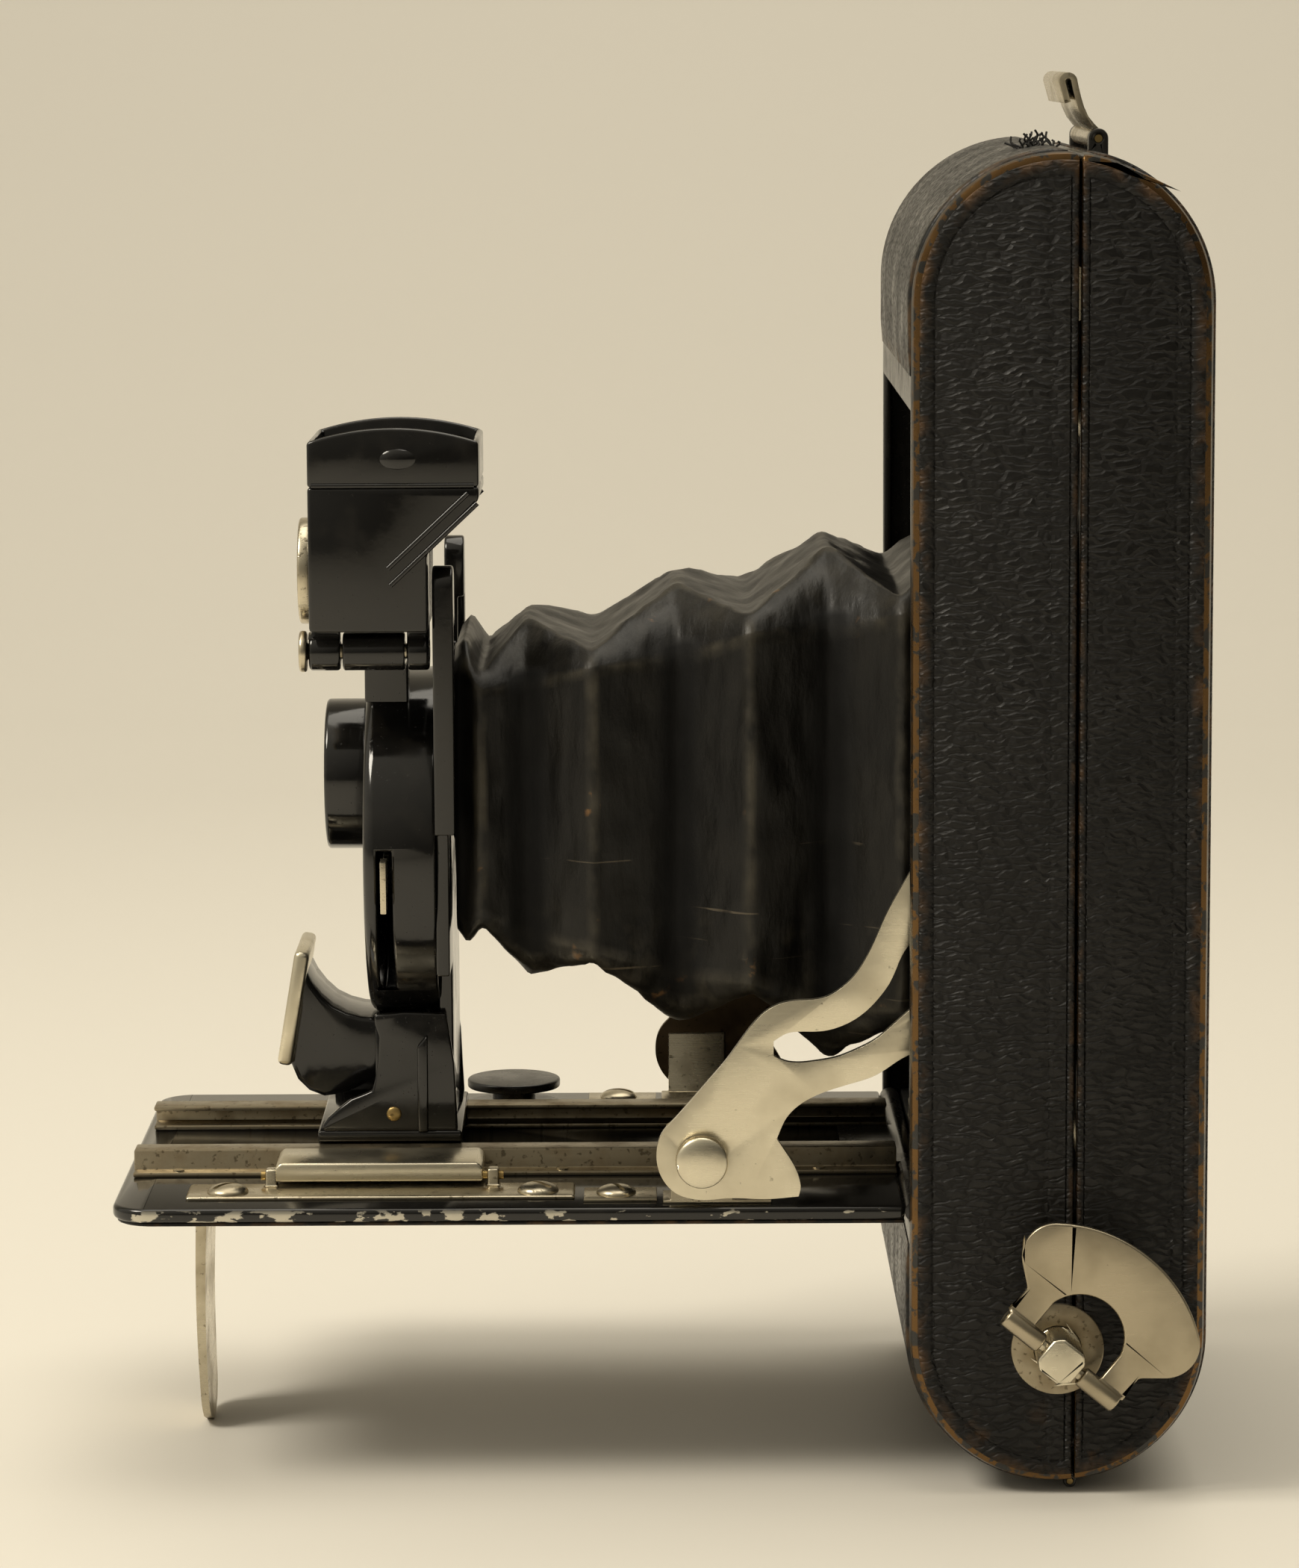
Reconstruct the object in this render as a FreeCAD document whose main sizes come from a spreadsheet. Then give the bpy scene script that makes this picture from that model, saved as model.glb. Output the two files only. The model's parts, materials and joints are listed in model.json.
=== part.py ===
"""Folding roll-film camera, opened for use: a flat round-ended case, a bed that drops forward on struts,
and a lens standard that slides on rails along the bed and pulls out a leather bellows.

Everything is drawn in the body's own frame first: X = 0 is the middle of the case's depth with the lens
towards -X, Y = 0 is the plane of symmetry, Z = 0 is the case's base. The part's origin is the mouth of
the tripod socket in the bed, so every piece is shifted there by socket_reach and bed_underside."""
import FreeCAD, Part
import Sketcher
import math
import os
import re

from FreeCAD import Placement, Rotation, Vector

DIMENSIONS = {
    # case and back cover
    "body_width": 82, "body_height": 171, "body_depth": 38, "wall": 1.2, "seam_place": 2,
    "seam_gap": 0.3, "opening_low": 33.5, "opening_high": 138.3, "opening_cheek": 2.5,
    "skin": 0.4, "skin_margin": 1.5, "hinge_axis_drop": 0.75, "hinge_radius": 0.85,
    "hinge_pin_radius": 0.4, "hinge_knuckle_end": 38, "hinge_knuckle_split": 20, "moving_gap": 0.3,
    "running_gap": 0.05, "red_window_radius": 5, "red_window_height": 52, "red_window_side": 16,
    # film path
    "lens_height": 87.35, "film_plane": 8.2, "gate_plate": 1.2, "gate_width": 57, "gate_height": 83,
    "partition": 1.2, "roller_spread": 47.5, "roller_radius": 2.4, "roller_length": 63,
    "journal_radius": 0.9, "journal_length": 68.4, "roller_place": 6.2, "spool_inset": 17.8,
    "spool_length": 66, "spool_core": 4.4, "spool_flange": 12.5, "flange_thickness": 0.9,
    "spool_bore": 2.06, "pressure_plate_gap": 0.6, "pressure_plate_thickness": 0.8,
    # bed
    "bed_front": 122.2, "bed_back": 19.5, "bed_half_width": 38, "bed_underside": 33.5,
    "bed_top": 35.85, "bed_skin": 0.5, "bed_corner": 5, "socket_reach": 45, "thread_radius": 3.175,
    "bush_radius": 5.2, "bush_length": 5.3, "rail_middle": 14.5, "rail_width": 4, "rail_height": 3.35,
    "rail_sheet": 0.7, "rail_front": 121, "rail_foot": 2, "bed_hinge_radius": 1.4,
    "bed_hinge_place": 18.1, "bed_hinge_height": 35,
    # support leg
    "leg_place": 113, "leg_width": 18, "leg_tip_width": 13, "leg_sheet": 1.1, "leg_flange": 3.2,
    "leg_hinge_height": 31.9, "leg_pin_radius": 0.6, "leg_knuckle_radius": 1.4, "foot_level": 1.6,
    # lens standard
    "carriage_front": 96.7, "carriage_back": 77.5, "carriage_top": 41, "carriage_plate": 1.5,
    "standard_front": 80.3, "standard_back": 78.5, "standard_half_width": 22, "arm_inner": 18.5,
    "arm_outer": 24, "arm_top": 117.5, "upright_half_width": 12, "bracket_front": 89,
    "bracket_top": 58.4, "bracket_inner": 10.5, "housing_front": 89.8, "housing_radius": 23.3,
    "housing_height": 78.4, "housing_wall": 1.2, "barrel_front": 95.5, "barrel_radius": 10.1,
    "barrel_spigot": 9.3, "barrel_bore": 8.6, "aperture_radius": 4, "shutter_pivot_radius": 1.5, "lever_slot_width": 2,
    "lever_slot_low": 60.5, "lever_slot_high": 80.2, "lever_middle_angle": 6, "lever_tab": 7,
    "grip_lean": 9.6, "grip_length": 15.6, "grip_thickness": 2, "grip_half_width": 8.5,
    # finder
    "finder_side": 27, "finder_width": 21, "finder_front": 96.1, "finder_back": 80.8,
    "finder_low": 109.4, "finder_high": 128.2, "finder_overhang": 74, "finder_sheet": 0.8,
    "hood_end_height": 134, "hood_arch_height": 135.8, "finder_lens_height": 116.45,
    "finder_lens_radius": 5.6, "bezel_radius": 6.95, "bezel_depth": 1.7, "finder_hinge_height": 106.2,
    "finder_hinge_side": 20, "finder_knuckle": 2.5, "finder_pin": 1, "finder_leaf": 1.5, "finder_seat": 8, "finder_foot": 4, "knuckle_split_front": 92.4,
    "knuckle_split_back": 83.7, "finder_knuckle_front": 96.5,
    # winding key and spool pins
    "key_shaft_radius": 3, "key_proud": 8, "key_square": 5.2, "key_bar_angle": 39.5,
    "key_bar_length": 18.2, "key_tube_radius": 1.35, "key_pin_radius": 0.75, "key_bar_proud": 6.2,
    "wing_sheet": 1, "wing_neck": 9.3, "wing_lobe": 13.5, "wing_reach": 17.4, "wing_hole": 5.5,
    "escutcheon_radius": 6, "escutcheon_thickness": 0.8, "knob_radius": 4.6, "knob_height": 3,
    "pin_radius": 2,
    # back latch
    "latch_width": 28, "latch_sheet": 1.1, "latch_hinge_place": 6.4, "latch_hinge_height": 172.1,
    "latch_knuckle": 1.3, "latch_pin": 0.5, "latch_top": 181, "latch_lean": 5,
    # bed fittings
    "lock_back": 74, "lock_front": 101, "lock_near": 27, "lock_far": 17, "lock_low": 37.05,
    "lock_high": 38.95, "lock_sheet": 0.8, "lock_pivot_side": 26, "lock_pivot_height": 37.7,
    "lock_pin": 0.6, "lock_plate_front": 112.8, "lock_plate_back": 62.2, "fitting_sheet": 0.55,
    "screw_radius": 2.8, "strut_side": 36, "strut_sheet": 1.1, "strut_pivot_reach": 45.7,
    "strut_pivot_height": 41.85, "stop_reach": 71.5, "stop_side": 25.8, "stop_radius": 7,
    "stop_top": 40.4,
    # bellows
    "bellows_front": 78.5, "bellows_sheet": 0.7,
}

doc = FreeCAD.newDocument("folding_camera")
sheet = doc.addObject("Spreadsheet::Sheet", "Sizes")
for row, (alias, value) in enumerate(DIMENSIONS.items(), 1):
    sheet.set(f"A{row}", str(value))
    sheet.setAlias(f"A{row}", alias)
doc.recompute()

nodes = []


def size(alias):
    """A driving dimension, read back from the sheet."""
    return float(sheet.get(alias))


def bind(thing, prop, formula):
    """Ties a property to the sheet: a word in the formula that is an alias becomes a reference to it."""
    words = r"[a-z_]+"
    text = re.sub(words, lambda word: "Sizes." + word[0] if word[0] in DIMENSIONS else word[0], str(formula))
    thing.setExpression(prop, text)


def bind_place(thing, x, y, z):
    """Ties a place in the body's frame to the sheet, shifted to the part's origin."""
    bind(thing, "Placement.Base.x", f"({x}) + socket_reach")
    bind(thing, "Placement.Base.y", y)
    bind(thing, "Placement.Base.z", f"({z}) - bed_underside")


def box(xs, ys, zs):
    """A block between two formulas along each axis."""
    block = doc.addObject("Part::Box", "Block")
    for prop, (low, high) in zip(("Length", "Width", "Height"), (xs, ys, zs)):
        bind(block, prop, f"({high}) - ({low})")
    bind_place(block, xs[0], ys[0], zs[0])
    return block


TURNS = {
    "X": Rotation(Vector(0, 1, 0), 90),
    "Y": Rotation(Vector(1, 0, 0), -90),
    "Z": Rotation(),
}


def rod(axis, x, y, z, radius, reach):
    """A cylinder that starts at a place and runs a given way along an axis."""
    bar = doc.addObject("Part::Cylinder", "Rod")
    bar.Placement = Placement(Vector(), TURNS[axis])
    bind(bar, "Radius", radius)
    bind(bar, "Height", reach)
    bind_place(bar, x, y, z)
    return bar


def fuse(*pieces):
    if len(pieces) == 1:
        return pieces[0]
    union = doc.addObject("Part::MultiFuse", "Union")
    union.Shapes = list(pieces)
    union.Refine = True
    return union


def cut(base, *tools):
    result = doc.addObject("Part::Cut", "Cut")
    result.Base = base
    result.Tool = fuse(*tools)
    result.Refine = True
    return result


def common(first, second):
    overlap = doc.addObject("Part::Common", "Overlap")
    overlap.Base = first
    overlap.Tool = second
    return overlap


def group(*pieces):
    """Separate solids that share one node."""
    gathered = doc.addObject("Part::Compound", "Group")
    gathered.Links = list(pieces)
    return gathered


def feature(shape):
    """A shape drawn in the body's frame by Part's own functions, placed at the part's origin."""
    thing = doc.addObject("Part::Feature", "Shape")
    thing.Shape = shape
    thing.Placement = Placement(Vector(size("socket_reach"), 0, -size("bed_underside")), Rotation())
    return thing


def prism(points, low, high):
    """An outline in the X-Z plane, run from one Y to another."""
    corners = [Vector(x, low, z) for x, z in points]
    face = Part.Face(Part.makePolygon(corners + corners[:1]))
    return face.extrude(Vector(0, high - low, 0))


def node(label, thing):
    """Marks an object as a finished sub-part."""
    thing.Label = label
    nodes.append(thing)
    return thing


def plate(xs, ys, zs, corner, front_only=False):
    """A flat plate made as a sketched rectangle and a pad, with all or only its front corners rounded."""
    body = doc.addObject("PartDesign::Body", "Plate")
    sketch = body.newObject("Sketcher::SketchObject", "Outline")
    flat = [f for f in body.Origin.OriginFeatures if f.Role == "XY_Plane"][0]
    sketch.AttachmentSupport = [(flat, "")]
    sketch.MapMode = "FlatFace"
    ends = [Vector(-2, -1, 0), Vector(2, -1, 0), Vector(2, 1, 0), Vector(-2, 1, 0)]
    for side in range(4):
        sketch.addGeometry(Part.LineSegment(ends[side], ends[(side + 1) % 4]), False)
    for side, kind in enumerate(("Horizontal", "Vertical", "Horizontal", "Vertical")):
        sketch.addConstraint(Sketcher.Constraint("Coincident", side, 2, (side + 1) % 4, 1))
        sketch.addConstraint(Sketcher.Constraint(kind, side))
    for name, formula, kind, edge, point in (
        ("Left", xs[0], "DistanceX", 0, 1),
        ("Right", xs[1], "DistanceX", 0, 2),
        ("Near", ys[0], "DistanceY", 0, 1),
        ("Far", ys[1], "DistanceY", 2, 1),
    ):
        index = sketch.addConstraint(Sketcher.Constraint(kind, -1, 1, edge, point, 1.0))
        sketch.renameConstraint(index, name)
        bind(sketch, f"Constraints.{name}", formula)
    pad = body.newObject("PartDesign::Pad", "Thickness")
    pad.Profile = sketch
    bind(pad, "Length", f"({zs[1]}) - ({zs[0]})")
    bind_place(body, "0", "0", zs[0])
    doc.recompute()
    middle = (pad.Shape.BoundBox.XMin + pad.Shape.BoundBox.XMax) / 2
    upright = [
        f"Edge{number}" for number, edge in enumerate(pad.Shape.Edges, 1)
        if abs(edge.BoundBox.ZLength - edge.Length) < 1e-6
        and (edge.Vertexes[0].X < middle or not front_only)
    ]
    rounding = body.newObject("PartDesign::Fillet", "Corners")
    rounding.Base = (pad, upright)
    bind(rounding, "Radius", corner)
    body.Tip = rounding
    doc.recompute()
    return body


def round_ended(inset, side_inset, xs):
    """The case's flat form with half-round ends, shrunk by an inset and kept between two X planes."""
    radius = f"body_depth / 2 - ({inset})"
    low_side = f"-body_width / 2 + ({side_inset})"
    across = f"body_width - 2 * ({side_inset})"
    ends = [
        rod("Y", "0", low_side, middle, radius, across)
        for middle in ("body_depth / 2", "body_height - body_depth / 2")
    ]
    block = box(
        (f"-({radius})", radius),
        (low_side, f"body_width / 2 - ({side_inset})"),
        ("body_depth / 2", "body_height - body_depth / 2"),
    )
    keep = box(xs, ("-body_width", "body_width"), ("-1", "body_height + 1"))
    return common(fuse(block, *ends), keep)


# ---------------------------------------------------------------- case and its side skins
back_hinge_height = "-hinge_axis_drop"
supply_height = "body_height - spool_inset"
side_socket_height = "lens_height + 12"


def hinge_rods(radius, spans):
    return [rod("Y", "seam_place", low, back_hinge_height, radius, f"({high}) - ({low})") for low, high in spans]


outer_spans = [("-hinge_knuckle_end", "-hinge_knuckle_split"), ("hinge_knuckle_split", "hinge_knuckle_end")]
inner_spans = [("-hinge_knuckle_split + moving_gap", "hinge_knuckle_split - moving_gap")]
inner_notch = [("-hinge_knuckle_split", "hinge_knuckle_split")]
outer_notch = [(f"{a} - moving_gap", f"{b} + moving_gap") for a, b in outer_spans]

shell = cut(
    round_ended("0", "0", ("-body_depth / 2", "seam_place")),
    round_ended("wall", "wall", ("-body_depth / 2", "seam_place + 1")),
    box(("-body_depth", "-body_depth / 2 + 2 * wall"),
        ("-body_width / 2 + opening_cheek", "body_width / 2 - opening_cheek"),
        ("opening_low", "opening_high")),
    rod("Y", "0", "-body_width", "spool_inset", "key_shaft_radius + running_gap", "body_width"),
    *[rod("Y", "0", "1", height, "pin_radius + running_gap", "body_width")
      for height in ("spool_inset", supply_height)],
    rod("Y", "-body_depth / 4", "1", side_socket_height, "bush_radius", "body_width"),
)
saddles = [
    box(("seam_place - hinge_radius", "seam_place - seam_gap"), span, ("-hinge_axis_drop", "wall / 2"))
    for span in outer_spans
]
with_hinge = fuse(shell, *hinge_rods("hinge_radius", outer_spans), *saddles)
node("front_case", cut(
    with_hinge,
    *hinge_rods("hinge_pin_radius", [("-body_width", "body_width")]),
    *hinge_rods("hinge_radius + moving_gap", inner_notch),
))


def side_skin(xs, low, high):
    """A thin sheet with the case's outline on one flat side, between two X planes."""
    return common(
        round_ended("skin_margin", "-skin", xs),
        box(("-body_depth", "body_depth"), (low, high), ("-1", "body_height + 1")),
    )


near_face = ("-body_width / 2 - skin", "-body_width / 2")
far_face = ("body_width / 2", "body_width / 2 + skin")
case_skin_xs = ("-body_depth / 2", "seam_place - skin_margin")
cover_skin_xs = ("seam_place + seam_gap + skin_margin", "body_depth / 2")
escutcheon_room = rod("Y", "0", "-body_width", "spool_inset", "escutcheon_radius", "body_width")
knob_rooms = [
    rod("Y", "0", "1", height, "knob_radius + moving_gap", "body_width")
    for height in ("spool_inset", supply_height)
]
socket_room = rod("Y", "-body_depth / 4", "1", side_socket_height, "bush_radius + 1", "body_width")
node("side_leathers", group(
    cut(side_skin(case_skin_xs, *near_face), escutcheon_room),
    cut(side_skin(case_skin_xs, *far_face), *knob_rooms, socket_room),
))
node("back_hinge_pin", rod("Y", "seam_place", "-hinge_knuckle_end", back_hinge_height, "hinge_pin_radius", "2 * hinge_knuckle_end"))

# ---------------------------------------------------------------- back cover
cover_front = "seam_place + seam_gap"
cover_saddle = box(
    ("seam_place + seam_gap", "seam_place + hinge_radius"), inner_spans[0], ("-hinge_axis_drop", "wall / 2")
)
cover_shell = cut(
    round_ended("0", "0", (cover_front, "body_depth / 2")),
    round_ended("wall", "wall", (cover_front + " - 1", "body_depth / 2")),
    rod("X", "body_depth / 4", "red_window_side", "red_window_height", "red_window_radius", "body_depth"),
)
latch_lugs = [
    box(("latch_hinge_place - latch_knuckle", "latch_hinge_place + latch_knuckle"), span,
        ("latch_hinge_height - 3 * latch_knuckle", "latch_hinge_height"))
    for span in (("-latch_width / 2 - 2", "-latch_width / 2 - moving_gap"), ("latch_width / 2 + moving_gap", "latch_width / 2 + 2"))
]
latch_ends = [
    rod("Y", "latch_hinge_place", low, "latch_hinge_height", "latch_knuckle", "2 - moving_gap")
    for low in ("-latch_width / 2 - 2", "latch_width / 2 + moving_gap")
]
hollow = round_ended("wall", "wall", (cover_front + " - 1", "body_depth / 2"))
node("back_cover", cut(
    fuse(cover_shell, *hinge_rods("hinge_radius", inner_spans), cover_saddle, *latch_lugs, *latch_ends),
    hollow,
    rod("Y", "0", "-body_width", "spool_inset", "key_shaft_radius + moving_gap", "body_width"),
    *hinge_rods("hinge_pin_radius + running_gap", [("-body_width", "body_width")]),
    *hinge_rods("hinge_radius + moving_gap", outer_notch),
    rod("Y", "latch_hinge_place", "-body_width", "latch_hinge_height", "latch_pin", "2 * body_width"),
))
window_bore = rod("X", "body_depth / 4", "red_window_side", "red_window_height", "red_window_radius", "body_depth")
node("cover_leathers", group(
    cut(
        box(("body_depth / 2", "body_depth / 2 + skin"),
            ("-body_width / 2 + skin_margin", "body_width / 2 - skin_margin"),
            ("body_depth / 2 - skin_margin", "body_height - body_depth / 2 + skin_margin")),
        window_bore,
    ),
    cut(side_skin(cover_skin_xs, *near_face), escutcheon_room),
    cut(side_skin(cover_skin_xs, *far_face), *knob_rooms),
))
node("red_window", rod("X", "body_depth / 2 - wall", "red_window_side", "red_window_height", "red_window_radius", "wall"))
plate_front = "film_plane + pressure_plate_gap"
plate_back = f"{plate_front} + pressure_plate_thickness"
spring_blades = [
    box((plate_back, "body_depth / 2 - wall"), (f"{side} - 4", f"{side} + 4"), (f"{height} - 0.4", f"{height} + 0.4"))
    for side in ("-gate_width / 4", "gate_width / 4")
    for height in ("lens_height - gate_height / 4", "lens_height + gate_height / 4")
]
node("pressure_plate", cut(
    fuse(
        box((plate_front, plate_back), ("-gate_width / 2 - 3", "gate_width / 2 + 3"),
            ("lens_height - gate_height / 2 - 1", "lens_height + gate_height / 2 + 1")),
        *spring_blades,
    ),
    rod("X", "0", "red_window_side", "red_window_height", "red_window_radius + 1", "body_depth / 2 - wall - 0.5"),
))
node("latch_pin", rod("Y", "latch_hinge_place", "-latch_width / 2 - 2", "latch_hinge_height", "latch_pin", "latch_width + 4"))

# ---------------------------------------------------------------- back latch: a bent strip on a knuckle
def bent_strip(path, half_width, sheet_thickness):
    """A strip of sheet that follows a path of points in the X-Z plane."""
    left = []
    right = []
    for index, (x, z) in enumerate(path):
        before = path[max(index - 1, 0)]
        after = path[min(index + 1, len(path) - 1)]
        way = Vector(after[0] - before[0], 0, after[1] - before[1]).normalize()
        across = Vector(-way.z, 0, way.x) * (sheet_thickness / 2)
        left.append((x + across.x, z + across.z))
        right.append((x - across.x, z - across.z))
    return prism(left + right[::-1], -half_width, half_width)


def curve_path(start, end, bow, count):
    """Points from start to end on a parabola that bows sideways by a given amount."""
    way = Vector(end[0] - start[0], 0, end[1] - start[1])
    side = Vector(-way.z, 0, way.x).normalize()
    points = []
    for step in range(count + 1):
        part = step / count
        lift = 4 * bow * part * (1 - part)
        points.append((start[0] + way.x * part + side.x * lift, start[1] + way.z * part + side.z * lift))
    return points


latch_root = (size("latch_hinge_place"), size("latch_hinge_height"))
latch_tip = (latch_root[0] - size("latch_lean"), size("latch_top") - 1)
latch_strip = bent_strip(
    curve_path((latch_root[0], latch_root[1] + 0.9), latch_tip, -1.0, 8), size("latch_width") / 2, size("latch_sheet")
)
latch_tube = Part.makeCylinder(
    size("latch_knuckle"), size("latch_width"), Vector(latch_root[0], -size("latch_width") / 2, latch_root[1]), Vector(0, 1, 0)
)
latch_lip = Part.makeCylinder(
    size("latch_sheet") * 0.85, size("latch_width"), Vector(latch_tip[0] - 0.35, -size("latch_width") / 2, latch_tip[1]), Vector(0, 1, 0)
)
latch_bore = Part.makeCylinder(
    size("latch_pin") + size("running_gap"), 2 * size("latch_width"), Vector(latch_root[0], -size("latch_width"), latch_root[1]), Vector(0, 1, 0)
)
node("back_latch", feature(latch_tube.fuse([latch_strip, latch_lip]).cut(latch_bore).removeSplitter()))

# ---------------------------------------------------------------- film gate, partitions, rollers and spools
gate_middle = [f"lens_height - roller_spread", f"lens_height + roller_spread"]
inside_front = "-bed_hinge_place + bed_hinge_radius + moving_gap"
partitions = []
for low in ("bed_top - partition", "opening_high"):
    partitions.append(box((inside_front, "seam_place - seam_gap"), ("-body_width / 2 + wall", "body_width / 2 - wall"), (low, f"{low} + partition")))
    partitions.append(box(("seam_place - 1", "film_plane"), ("-body_width / 2 + wall + 0.4", "body_width / 2 - wall - 0.4"), (low, f"{low} + partition")))
gate = box(
    ("film_plane - gate_plate", "film_plane"), ("-body_width / 2 + wall + 0.4", "body_width / 2 - wall - 0.4"),
    ("bed_top - partition", "opening_high + partition"),
)
window = box(
    ("film_plane - 2 * gate_plate", "film_plane + 1"), ("-gate_width / 2", "gate_width / 2"),
    ("lens_height - gate_height / 2", "lens_height + gate_height / 2"),
)
roller_slots = [
    box(("film_plane - 2 * gate_plate", "film_plane + 1"), ("-roller_length / 2 - moving_gap", "roller_length / 2 + moving_gap"),
        (f"{middle} - roller_radius - moving_gap", f"{middle} + roller_radius + moving_gap"))
    for middle in gate_middle
]
ears = [
    box(("roller_place - 2.6", "film_plane - gate_plate"), (low, high), (f"{middle} - 2.5", f"{middle} + 2.5"))
    for middle in gate_middle
    for low, high in (("-journal_length / 2 - 0.5", "-roller_length / 2 - moving_gap"), ("roller_length / 2 + moving_gap", "journal_length / 2 + 0.5"))
]
journal_holes = [
    rod("Y", "roller_place", "-journal_length / 2 - 0.1", middle, "journal_radius + running_gap", "journal_length + 0.2")
    for middle in gate_middle
]
node("gate_frame", cut(fuse(gate, *partitions, *ears), window, *roller_slots, *journal_holes))
for label, middle in zip(("bottom_roller", "top_roller"), gate_middle):
    node(label, fuse(
        rod("Y", "roller_place", "-roller_length / 2", middle, "roller_radius", "roller_length"),
        rod("Y", "roller_place", "-journal_length / 2", middle, "journal_radius", "journal_length"),
    ))


def spool(height):
    body = [rod("Y", "0", "-spool_length / 2", height, "spool_core", "spool_length")]
    for low in ("-spool_length / 2", "spool_length / 2 - flange_thickness"):
        body.append(rod("Y", "0", low, height, "spool_flange", "flange_thickness"))
    return fuse(*body)


def bore(height):
    return rod("Y", "0", "-spool_length / 2 - 1", height, "spool_bore", "spool_length + 2")


drive_slot = box(("-0.8", "0.8"), ("-spool_length / 2 - 1", "-spool_length / 2 + 5"), ("spool_inset - 3.6", "spool_inset + 3.6"))
node("takeup_spool", cut(spool("spool_inset"), bore("spool_inset"), drive_slot))
node("supply_spool", cut(spool(supply_height), bore(supply_height)))
pivot_length = "body_width / 2 - wall - spool_length / 2 + 2"
node("supply_pivot", fuse(
    rod("Y", "0", "-body_width / 2 + wall", supply_height, "pin_radius", pivot_length),
    rod("Y", "0", "-body_width / 2 + wall", supply_height, "pin_radius + 2", "3"),
))
for label, height in (("takeup_pin", "spool_inset"), ("supply_pin", supply_height)):
    node(label, fuse(
        rod("Y", "0", "spool_length / 2 - 2", height, "pin_radius", "body_width / 2 - spool_length / 2 + 3"),
        rod("Y", "0", "spool_length / 2 + 1.4", height, "pin_radius + 1.2", "flange_thickness"),
        rod("Y", "0", "body_width / 2 + moving_gap", height, "knob_radius", "knob_height"),
    ))

# ---------------------------------------------------------------- winding key
node("key_escutcheon", cut(
    rod("Y", "0", "-body_width / 2 - escutcheon_thickness", "spool_inset", "escutcheon_radius", "escutcheon_thickness"),
    rod("Y", "0", "-body_width", "spool_inset", "key_shaft_radius + running_gap", "body_width"),
    box(("seam_place", "body_depth"), ("-body_width / 2 - moving_gap", "0"), ("0", "body_height")),
))
bar_way = Vector(math.cos(math.radians(size("key_bar_angle"))), 0, -math.sin(math.radians(size("key_bar_angle"))))
wing_way = Vector(-bar_way.z, 0, bar_way.x)
key_end = size("body_width") / 2 + size("key_proud")
bar_level = size("body_width") / 2 + size("key_bar_proud")
bar_middle = Vector(0, -bar_level, size("spool_inset"))
inner_end = -size("spool_length") / 2 - 2.5
shaft = Part.makeCylinder(size("key_shaft_radius"), key_end + inner_end, Vector(0, -key_end, size("spool_inset")), Vector(0, 1, 0))
square_low = size("body_width") / 2 + size("escutcheon_thickness") + 0.6
square_depth = key_end - square_low
square = Part.makeBox(size("key_square"), square_depth, size("key_square"), Vector(-size("key_square") / 2, -key_end, -size("key_square") / 2))
square.rotate(Vector(), Vector(0, 1, 0), size("key_bar_angle"))
square.translate(Vector(0, 0, size("spool_inset")))
round_part = Part.makeCylinder(size("key_shaft_radius"), key_end, Vector(0, -square_low, size("spool_inset")), Vector(0, 1, 0))
collar = Part.makeCylinder(size("key_shaft_radius") + 1.6, 1.2, Vector(0, -size("body_width") / 2 + size("wall") + 0.3, size("spool_inset")), Vector(0, 1, 0))
blade = Part.makeBox(1.2, 6.5, 6.4, Vector(-0.6, inner_end - 0.5, size("spool_inset") - 3.2))
cross_hole = Part.makeCylinder(size("key_pin_radius"), 20, bar_middle - bar_way * 10, bar_way)
key_solid = shaft.common(square.fuse(round_part)).fuse([collar, blade]).cut(cross_hole)
node("key_shaft", feature(key_solid))
node("key_cross_pin", feature(Part.makeCylinder(
    size("key_pin_radius"), size("key_bar_length"), bar_middle - bar_way * (size("key_bar_length") / 2), bar_way
)))


def wing_point(along, out):
    return bar_middle + bar_way * along + wing_way * out


def wing_outline():
    """The bow's outline: a narrow neck at the bar, widening to two lobes under one round end."""
    neck = size("wing_neck")
    lobe = size("wing_lobe")
    reach = size("wing_reach")
    side = [(size("key_bar_length") / 2, 0), (neck, 0.26 * reach)]
    edges = []
    for flip in (1, -1):
        start, waist = [wing_point(flip * along, out) for along, out in side]
        low = wing_point(flip * (lobe - 1.6), 0.38 * reach)
        wide = wing_point(flip * lobe, 0.56 * reach)
        edges.append((start, waist, low, wide))
    top = wing_point(0, reach)
    right, left = edges
    top_right = wing_point(lobe * 0.86, 0.78 * reach)
    top_left = wing_point(-lobe * 0.86, 0.78 * reach)
    return Part.Wire([
        Part.makeLine(left[0], right[0]),
        Part.makeLine(right[0], right[1]),
        Part.makeLine(right[1], right[2]),
        Part.Arc(right[2], right[3], top_right).toShape(),
        Part.Arc(top_right, top, top_left).toShape(),
        Part.Arc(top_left, left[3], left[2]).toShape(),
        Part.makeLine(left[2], left[1]),
        Part.makeLine(left[1], left[0]),
    ])


sheet_up = Vector(0, size("wing_sheet"), 0)
wing_plate = Part.Face(wing_outline()).extrude(sheet_up)
wing_plate.translate(sheet_up * -0.5)
hole_half = size("wing_hole")
hole_top = 0.54 * size("wing_reach")
hole_side = 0.3 * size("wing_reach")
hole = Part.Face(Part.Wire([
    Part.makeLine(wing_point(-hole_half, -3), wing_point(hole_half, -3)),
    Part.makeLine(wing_point(hole_half, -3), wing_point(hole_half, hole_side)),
    Part.Arc(wing_point(hole_half, hole_side), wing_point(0, hole_top), wing_point(-hole_half, hole_side)).toShape(),
    Part.makeLine(wing_point(-hole_half, hole_side), wing_point(-hole_half, -3)),
])).extrude(sheet_up * 6)
hole.translate(sheet_up * -3)
tube_end = size("key_bar_length") / 2
tube_start = size("key_shaft_radius") + size("moving_gap")
tubes = [
    Part.makeCylinder(size("key_tube_radius"), tube_end - tube_start, bar_middle + bar_way * start, bar_way)
    for start in (tube_start, -tube_end)
]
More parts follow.
